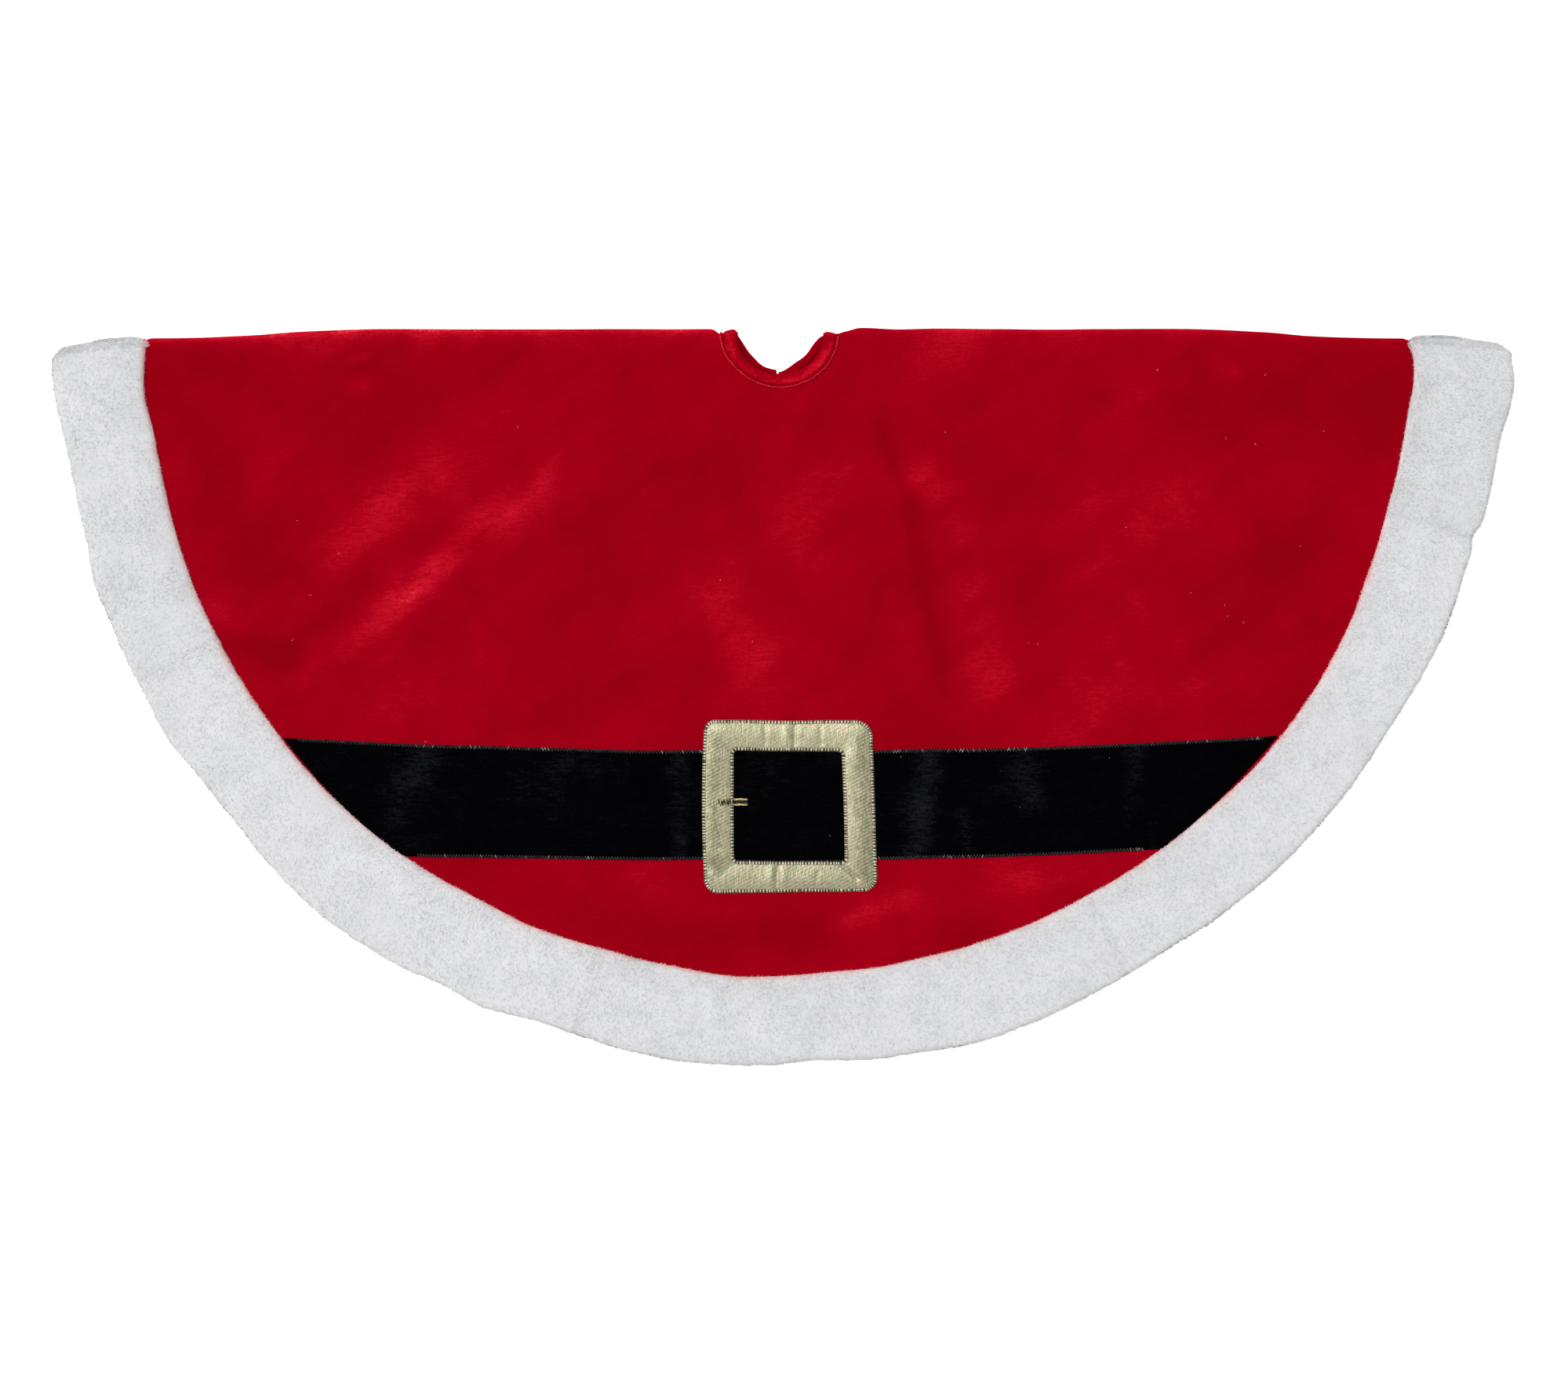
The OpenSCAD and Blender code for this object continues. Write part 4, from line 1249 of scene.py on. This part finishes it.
def buckle_height(x, y, v):
    """Height of the padded cloth over the belt, v being the share of the way from the opening out."""
    roll = np.clip(np.sin(math.pi * np.clip(v, 0, 1)), 0, 1) ** 0.55
    height = 2.3 * roll
    for start, end, width, depth in BUCKLE_CREASES:
        height = height + depth * streak(x * 1000, y * 1000, start, end, width) * roll
    p = flat_points(x, y)
    return (height + roll * (0.25 * noise(p, 0.022, 91) + 0.10 * noise(p, 0.009, 92))) * MM


def place_on_buckle(x, y, above):
    gx, gy = BUCKLE_X + x, BUCKLE_Y + y
    return xyz(gx, gy, on_front(gx, gy, above, 9 * MM))


def buckle_grid(v):
    """Buckle coordinates from the opening's edge (v = 0) to the outer edge (v = 1), and each point's v."""
    outer, inner = buckle_lines()
    line = inner[None] * (1 - v[:, None, None]) + outer[None] * v[:, None, None]
    return line[..., 0], line[..., 1], v[:, None] + 0 * line[..., 0]


def buckle_cloth():
    """The gold cloth, padded, between its inner and outer edging."""
    rows_at = 0.5 - 0.5 * np.cos(math.pi * np.linspace(0.04, 0.96, 34))
    x, y, v = buckle_grid(np.concatenate([[0], rows_at, [1]]))
    top = place_on_buckle(x, y, 0.5 * MM + buckle_height(x, y, v))
    under = place_on_buckle(x, y, 0.08 * MM)
    rows, cols = top.shape[:2]
    count = rows * cols
    quads = grid_faces(rows, cols, around=True)
    walls = []
    for edge in (np.arange(cols), np.arange(count - cols, count)):
        following = np.roll(edge, -1)
        walls.append(np.stack([edge, following, following + count, edge + count], axis=-1))
    faces = [quads[:, ::-1], quads + count, walls[0][:, ::-1], walls[1]]
    points = np.concatenate([top.reshape(-1, 3), under.reshape(-1, 3)])
    # Painted light and shade on the gold cloth: on the side bands a painted highlight near the opening and
    # painted shade in the channel further out, the side bands darker overall and the top band lighter
    side = smooth((np.abs(x) - np.abs(y)) / (12 * MM) + 0.5)
    tone = 0.5 * hump(v, 0.22, 0.16) - 0.45 * hump(v, 0.62, 0.14) - 0.42
    tone = 0.5 + side * tone + 0.35 * (1 - side) * (y > 0)
    made = build("buckle_cloth", points, faces, LAME, {"tone": np.tile(tone.ravel(), 2)}, sharp=70)
    fasten(made, "front", "buckle_cloth")
    return made


def buckle_wadding():
    """The wadding inside the buckle, under its cloth."""
    x, y, v = buckle_grid(np.linspace(0.14, 0.86, 9))
    top = place_on_buckle(x, y, 0.62 * buckle_height(x, y, v))
    under = place_on_buckle(x, y, 0.1 * MM)
    loop = np.concatenate([top, under[::-1]])
    quads = grid_faces(loop.shape[0], loop.shape[1], around=True)
    rows, cols = loop.shape[:2]
    last, first = (rows - 1) * cols + np.arange(cols), np.arange(cols)
    close = np.stack([last, np.roll(last, -1), np.roll(first, -1), first], axis=-1)
    made = build("buckle_wadding", loop.reshape(-1, 3), [quads[:, ::-1], close[:, ::-1]], WADDING, {})
    fasten(made, "front", "buckle_wadding")
    return made


BEAD_PITCH = 2.5 * MM
GAP_PITCH = 2.9 * MM


def cloth_rise(offset):
    """The height at which thread lies over the buckle's cloth, at a distance in from its edge."""
    share = np.clip(offset / (BUCKLE_HALF - BUCKLE_OPENING_HALF), 0, 1)
    arch = 0.25 * MM + 2.3 * MM * np.sin(math.pi * share) ** 0.55
    return 0.35 * MM + arch * smooth(offset / (0.6 * MM))


def satin_edging(name, line, inwards, seed):
    """Satin stitch along a closed outline: hundreds of short threads side by side over the cloth's edge."""
    pick = np.random.default_rng(seed)
    closed = np.concatenate([line, line[:1]])
    lengths = np.linalg.norm(np.diff(closed, axis=0), axis=1)
    along = np.concatenate([[0], np.cumsum(lengths)])
    pitch = 0.42 * MM
    count = int(along[-1] / pitch)
    spots = np.linspace(0, along[-1], count, endpoint=False)
    at = np.stack([np.interp(spots, along, closed[:, k]) for k in (0, 1)], axis=-1)
    ahead = np.roll(at, -3, axis=0) - np.roll(at, 3, axis=0)
    ahead = ahead / np.linalg.norm(ahead, axis=1)[:, None]
    normal = np.stack([-ahead[:, 1], ahead[:, 0]], axis=-1) * (1 if inwards else -1)
    stitches = Parts()
    share = np.linspace(0, 1, 6)
    wander = 2.0 * noise(flat_points(at[:, 0], at[:, 1]), 0.006, seed)
    beads = np.sin(2 * math.pi * spots / BEAD_PITCH + wander)
    tones = 0.45 + 0.68 * beads
    for k in range(count):
        reach = EDGING_W * (0.92 + 0.16 * pick.random())
        slant = pick.normal(0, 0.16) * MM
        offset = -0.35 * MM + reach * share
        aside = slant * share + pick.normal(0, 0.05) * MM
        path = at[k] + normal[k] * offset[:, None] + ahead[k] * aside[:, None]
        arch = cloth_rise(offset) + (0.30 + 0.12 * pick.random()) * MM * np.sin(math.pi * share) ** 0.6
        tone = 0.12 * pick.random() if pick.random() < 0.10 else tones[k] + pick.normal(0, 0.14)
        points = place_on_buckle(path[:, 0], path[:, 1], arch)
        thread(stitches, points, 0.58 * MM, np.clip(tone, 0, 1), 0.30 * MM)
    # Dark thread dashes laid in the gaps between the stitches, as painted shade there
    shaded_gaps = np.arange(0, along[-1], GAP_PITCH)
    for spot in shaded_gaps + pick.normal(0, 0.3, len(shaded_gaps)) * MM:
        share = (spot + np.linspace(-0.5, 0.5, 5) * pick.uniform(0.7, 1.8) * MM) % along[-1]
        ends = np.stack([np.interp(share, along, closed[:, k]) for k in (0, 1)], axis=-1)
        in_from_edge = pick.uniform(0.2, 0.9) * MM
        ends = ends + normal[int(spot / along[-1] * count) % count] * in_from_edge
        above = cloth_rise(np.full(5, in_from_edge)) + 0.35 * MM
        thread(stitches, place_on_buckle(ends[:, 0], ends[:, 1], above), 0.9 * MM, 0.0, 0.2 * MM)
    for shift in (0.0, 0.5, 1.0):
        middle = EDGING_W * (0.1 + 0.72 * shift)
        rows = []
        for across in (middle - 0.5 * MM, middle + 0.5 * MM):
            q = at + normal * across
            rows.append(place_on_buckle(q[:, 0], q[:, 1], cloth_rise(np.full(count, across))))
        stitches.add(np.stack(rows), grid_faces(2, count, around=True), 0.25)
    made = stitches.build(name, GOLD, sharp=60)
    fasten(made, "front", name)
    return made


TONGUE_RISE = 3.6 * MM


def tongue():
    """The stitched tongue: dark zigzag over the cloth, and two bright prongs into the opening."""
    left, right = tongue_low.x - 0.6 * MM, tongue_high.x
    middle = (tongue_low.y + tongue_high.y) / 2 + TONGUE_RISE
    rim_x = BUCKLE_X - BUCKLE_OPENING_HALF + 0.8 * MM
    stitches = Parts()
    count = int((right - left) / (1.15 * MM))
    for k in range(count):
        x = left + (right - left) * (k + 0.5) / count
        inside = x > rim_x
        share = np.linspace(-1, 1, 6)
        xs = x + (0.75 * MM) * share * (1 if k % 2 else -1) + rng.normal(0, 0.05) * MM
        ys = middle + 2.9 * MM * share * (1 + rng.normal(0, 0.05)) + rng.normal(0, 0.12) * MM
        arch = 0.60 * MM * np.sqrt(np.clip(1 - share ** 2, 0, 1))
        tone = 0.05 if inside else 0.02 + 0.9 * (k % 4 == 1) * rng.random()
        lay_thread(stitches, xs, ys, rim_x, arch, 0.9 * MM, tone)
    for up in (-1, 1):
        for k in range(2):
            xs = np.linspace(rim_x - 3.0 * MM, right, 14)
            ys = middle + up * (2.6 * MM - 0.75 * MM * k) + 0.15 * MM * np.sin(xs * 900 + k)
            lay_thread(stitches, xs, ys, rim_x, 0.75 * MM + 0 * xs, 0.75 * MM, 0.95)
    made = stitches.build("buckle_tongue", BROWN_GOLD)
    fasten(made, "front", "buckle_tongue")
    return made


def lay_thread(stitches, xs, ys, rim_x, arch, width, tone):
    """One of the tongue's threads, over the padded cloth left of rim_x and over the belt right of it."""
    over = smooth((rim_x - xs) / (2.5 * MM))
    points = xyz(xs, ys, on_front(xs, ys, 0.3 * MM + 3.0 * MM * over + arch))
    thread(stitches, points, width, np.clip(tone, 0, 1), 0.38 * MM)


# ---------------------------------------------------------------- the slit

def slit_facing(part):
    """The strip of lining that backs a wing's slit edge."""
    name = part + "_wing_slit_facing"
    low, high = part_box(name)
    inner, outer = -high.y, -low.y
    x = np.linspace(low.x, high.x, 12)
    y = np.linspace(inner, outer, 150)
    xx, yy = np.meshgrid(x, y, indexing="ij")
    drop = FACE_Z + high.z
    top = xyz(xx, yy, FACE_Z - drop + relief(xx, yy, part))
    wrinkle = 0.12 * MM * noise(top, 0.02, 101)
    under = top - xyz(0, 0, 0.6 * MM + wrinkle)
    made = closed_sheet(name, lay(top, part), lay(under, part), LINING)
    fasten(made, part, name)
    return made


PATCH_LENGTH = 32 * MM
PATCH_COUNT = 3
TUFT_PITCH = 1.5 * MM
TUFT = np.array([[-0.4, -0.3, 0], [0.4, -0.3, 0], [0, 0.45, 0], [0.1, 0, 0.5]]) * MM
TUFT_FACES = np.array([[0, 1, 3], [1, 2, 3], [2, 0, 3]])


def closure_patches(part, node, above):
    """Three patches of hook-and-loop tape by the slit: a woven base with rows of tiny tufts."""
    low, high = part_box(node)
    first, last = -high.y, -low.y
    middles = np.linspace(first + PATCH_LENGTH / 2, last - PATCH_LENGTH / 2, PATCH_COUNT)
    level = -low.z if above else -high.z
    tapes = Parts()
    direction = 1 if above else -1
    for middle in middles:
        xx, yy = np.meshgrid(np.linspace(low.x, high.x, 6),
                             middle + PATCH_LENGTH * np.linspace(-0.5, 0.5, 9), indexing="ij")
        lift = relief(xx, yy, part)
        face = xyz(xx, yy, level - 0.5 * MM * direction + lift)
        back = face - np.array([0, 0, 0.4 * MM * direction])
        both = lay(np.concatenate([face.reshape(-1, 3), back.reshape(-1, 3)]), part)
        upper, lower, walls = sheet_faces(*face.shape[:2])
        tapes.add(both, np.concatenate([upper, lower, walls[:, ::-1]]), 0.3)
        near_end = middle - PATCH_LENGTH / 2 + 1.2 * MM
        far_end = middle + PATCH_LENGTH / 2 - 1 * MM
        for tx in np.arange(low.x + 1.2 * MM, high.x - 1.0 * MM, TUFT_PITCH):
            for ty in np.arange(near_end, far_end, TUFT_PITCH):
                jx, jy = rng.normal(0, 0.15, 2) * MM
                spot = np.array([tx + jx, ty + jy, level - 0.5 * MM * direction
                                 + float(relief(np.array(tx), np.array(ty), part))])
                tuft = spot + TUFT * [1, 1, direction]
                tapes.add(lay(tuft, part), TUFT_FACES, 0.9)
    made = tapes.build(node, TAPE)
    fasten(made, part, node)
    return made


# ---------------------------------------------------------------- lint, floor, light and camera

def lint(count=30):
    """Short stray fibres that cling to the velvet."""
    bits = Parts()
    for _ in range(count):
        angle, r = rng.uniform(math.pi, 2 * math.pi), math.sqrt(rng.uniform(0.06 ** 2, 0.5 ** 2))
        x, y = r * math.cos(angle), r * math.sin(angle)
        if y > -0.03:
            continue
        turn, bend, size = rng.uniform(0, math.pi), rng.normal(0, 0.8), rng.uniform(1.0, 3.2) * MM
        share = np.linspace(-0.5, 0.5, 6)
        heading = turn + bend * share
        xs = x + np.cumsum(np.cos(heading)) * size / 6
        ys = y + np.cumsum(np.sin(heading)) * size / 6
        points = settle(xyz(xs, ys, on_front(xs, ys, 0.12 * MM)), "front")
        thread(bits, points, 0.14 * MM, 0.9, 0.10 * MM)
    made = bits.build("lint", WADDING)
    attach(made, "front_half")
    return made


def floor_material():
    s = Shader("floor")
    s.set(Base_Color=(0.95, 0.95, 0.95, 1), Roughness=1.0, Specular_IOR_Level=0.0,
          Emission_Color=(1, 1, 1, 1), Emission_Strength=0.60)
    return s.material


def floor():
    size = 14.0
    z = -TRIM_TOP - 0.9 * MM
    corners = [[-size, -size, z], [size, -size, z], [size, size, z], [-size, size, z]]
    made = build("floor", np.array(corners), [np.array([[0, 1, 2, 3]])], floor_material())
    return made


def light():
    world = bpy.data.worlds.new("studio")
    world.use_nodes = True
    world.node_tree.nodes["Background"].inputs["Color"].default_value = (1, 1, 1, 1)
    world.node_tree.nodes["Background"].inputs["Strength"].default_value = WORLD_STRENGTH
    bpy.context.scene.world = world
    sun = bpy.data.lights.new("sun", "SUN")
    sun.energy = SUN_STRENGTH
    sun.angle = math.radians(SUN_SPREAD)
    lamp = bpy.data.objects.new("sun", sun)
    lamp.rotation_euler = Vector(SUN_FROM).to_track_quat("Z", "Y").to_euler()
    bpy.context.scene.collection.objects.link(lamp)


WORLD_STRENGTH = 0.52
SUN_STRENGTH = 2.05
SUN_SPREAD = 40
SUN_FROM = (-0.45, 0.34, 0.85)
CAMERA_HEIGHT = 3.2
VIEW_WIDTH = 1.3103
CAMERA_X = 2.95 * MM
CAMERA_Y = -303.2 * MM


def camera():
    data = bpy.data.cameras.new("camera")
    data.sensor_width = 36
    data.lens = 36 * (CAMERA_HEIGHT - FACE_Z) / VIEW_WIDTH
    made = bpy.data.objects.new("camera", data)
    made.location = (CAMERA_X, CAMERA_Y, CAMERA_HEIGHT)
    bpy.context.scene.collection.objects.link(made)
    bpy.context.scene.camera = made
    bpy.context.scene.view_settings.view_transform = "Standard"


# ---------------------------------------------------------------- the whole skirt

for half in ("front", "left", "right"):
    panel(half, "velvet", 0, VELVET_T, RED_VELVET)
    panel(half, "interlining", INTERLINING_DEPTH, INTERLINING_T, INTERLINING)
    panel(half, "lining", LINING_DEPTH, LINING_T, LINING)
    collar(half)
    collar_stitches(half)
for wing in ("left", "right"):
    velvet_fold(wing)
    trim_bridge(wing)
    collar_bridge(wing)
for number, (piece, half, first, last, tint) in enumerate(TRIM_PIECES):
    trim(piece, half, first, last, tint, 200 + number)
belt()
belt_stitching("top")
belt_stitching("bottom")
buckle_cloth()
buckle_wadding()
outer_line, inner_line = buckle_lines()
satin_edging("buckle_outer_edging", outer_line, True, 121)
satin_edging("buckle_inner_edging", inner_line, False, 122)
tongue()
slit_facing("left")
slit_facing("right")
closure_patches("left", "left_wing_hook_patches", False)
closure_patches("right", "right_wing_loop_patches", True)
lint()
floor()
light()
camera()
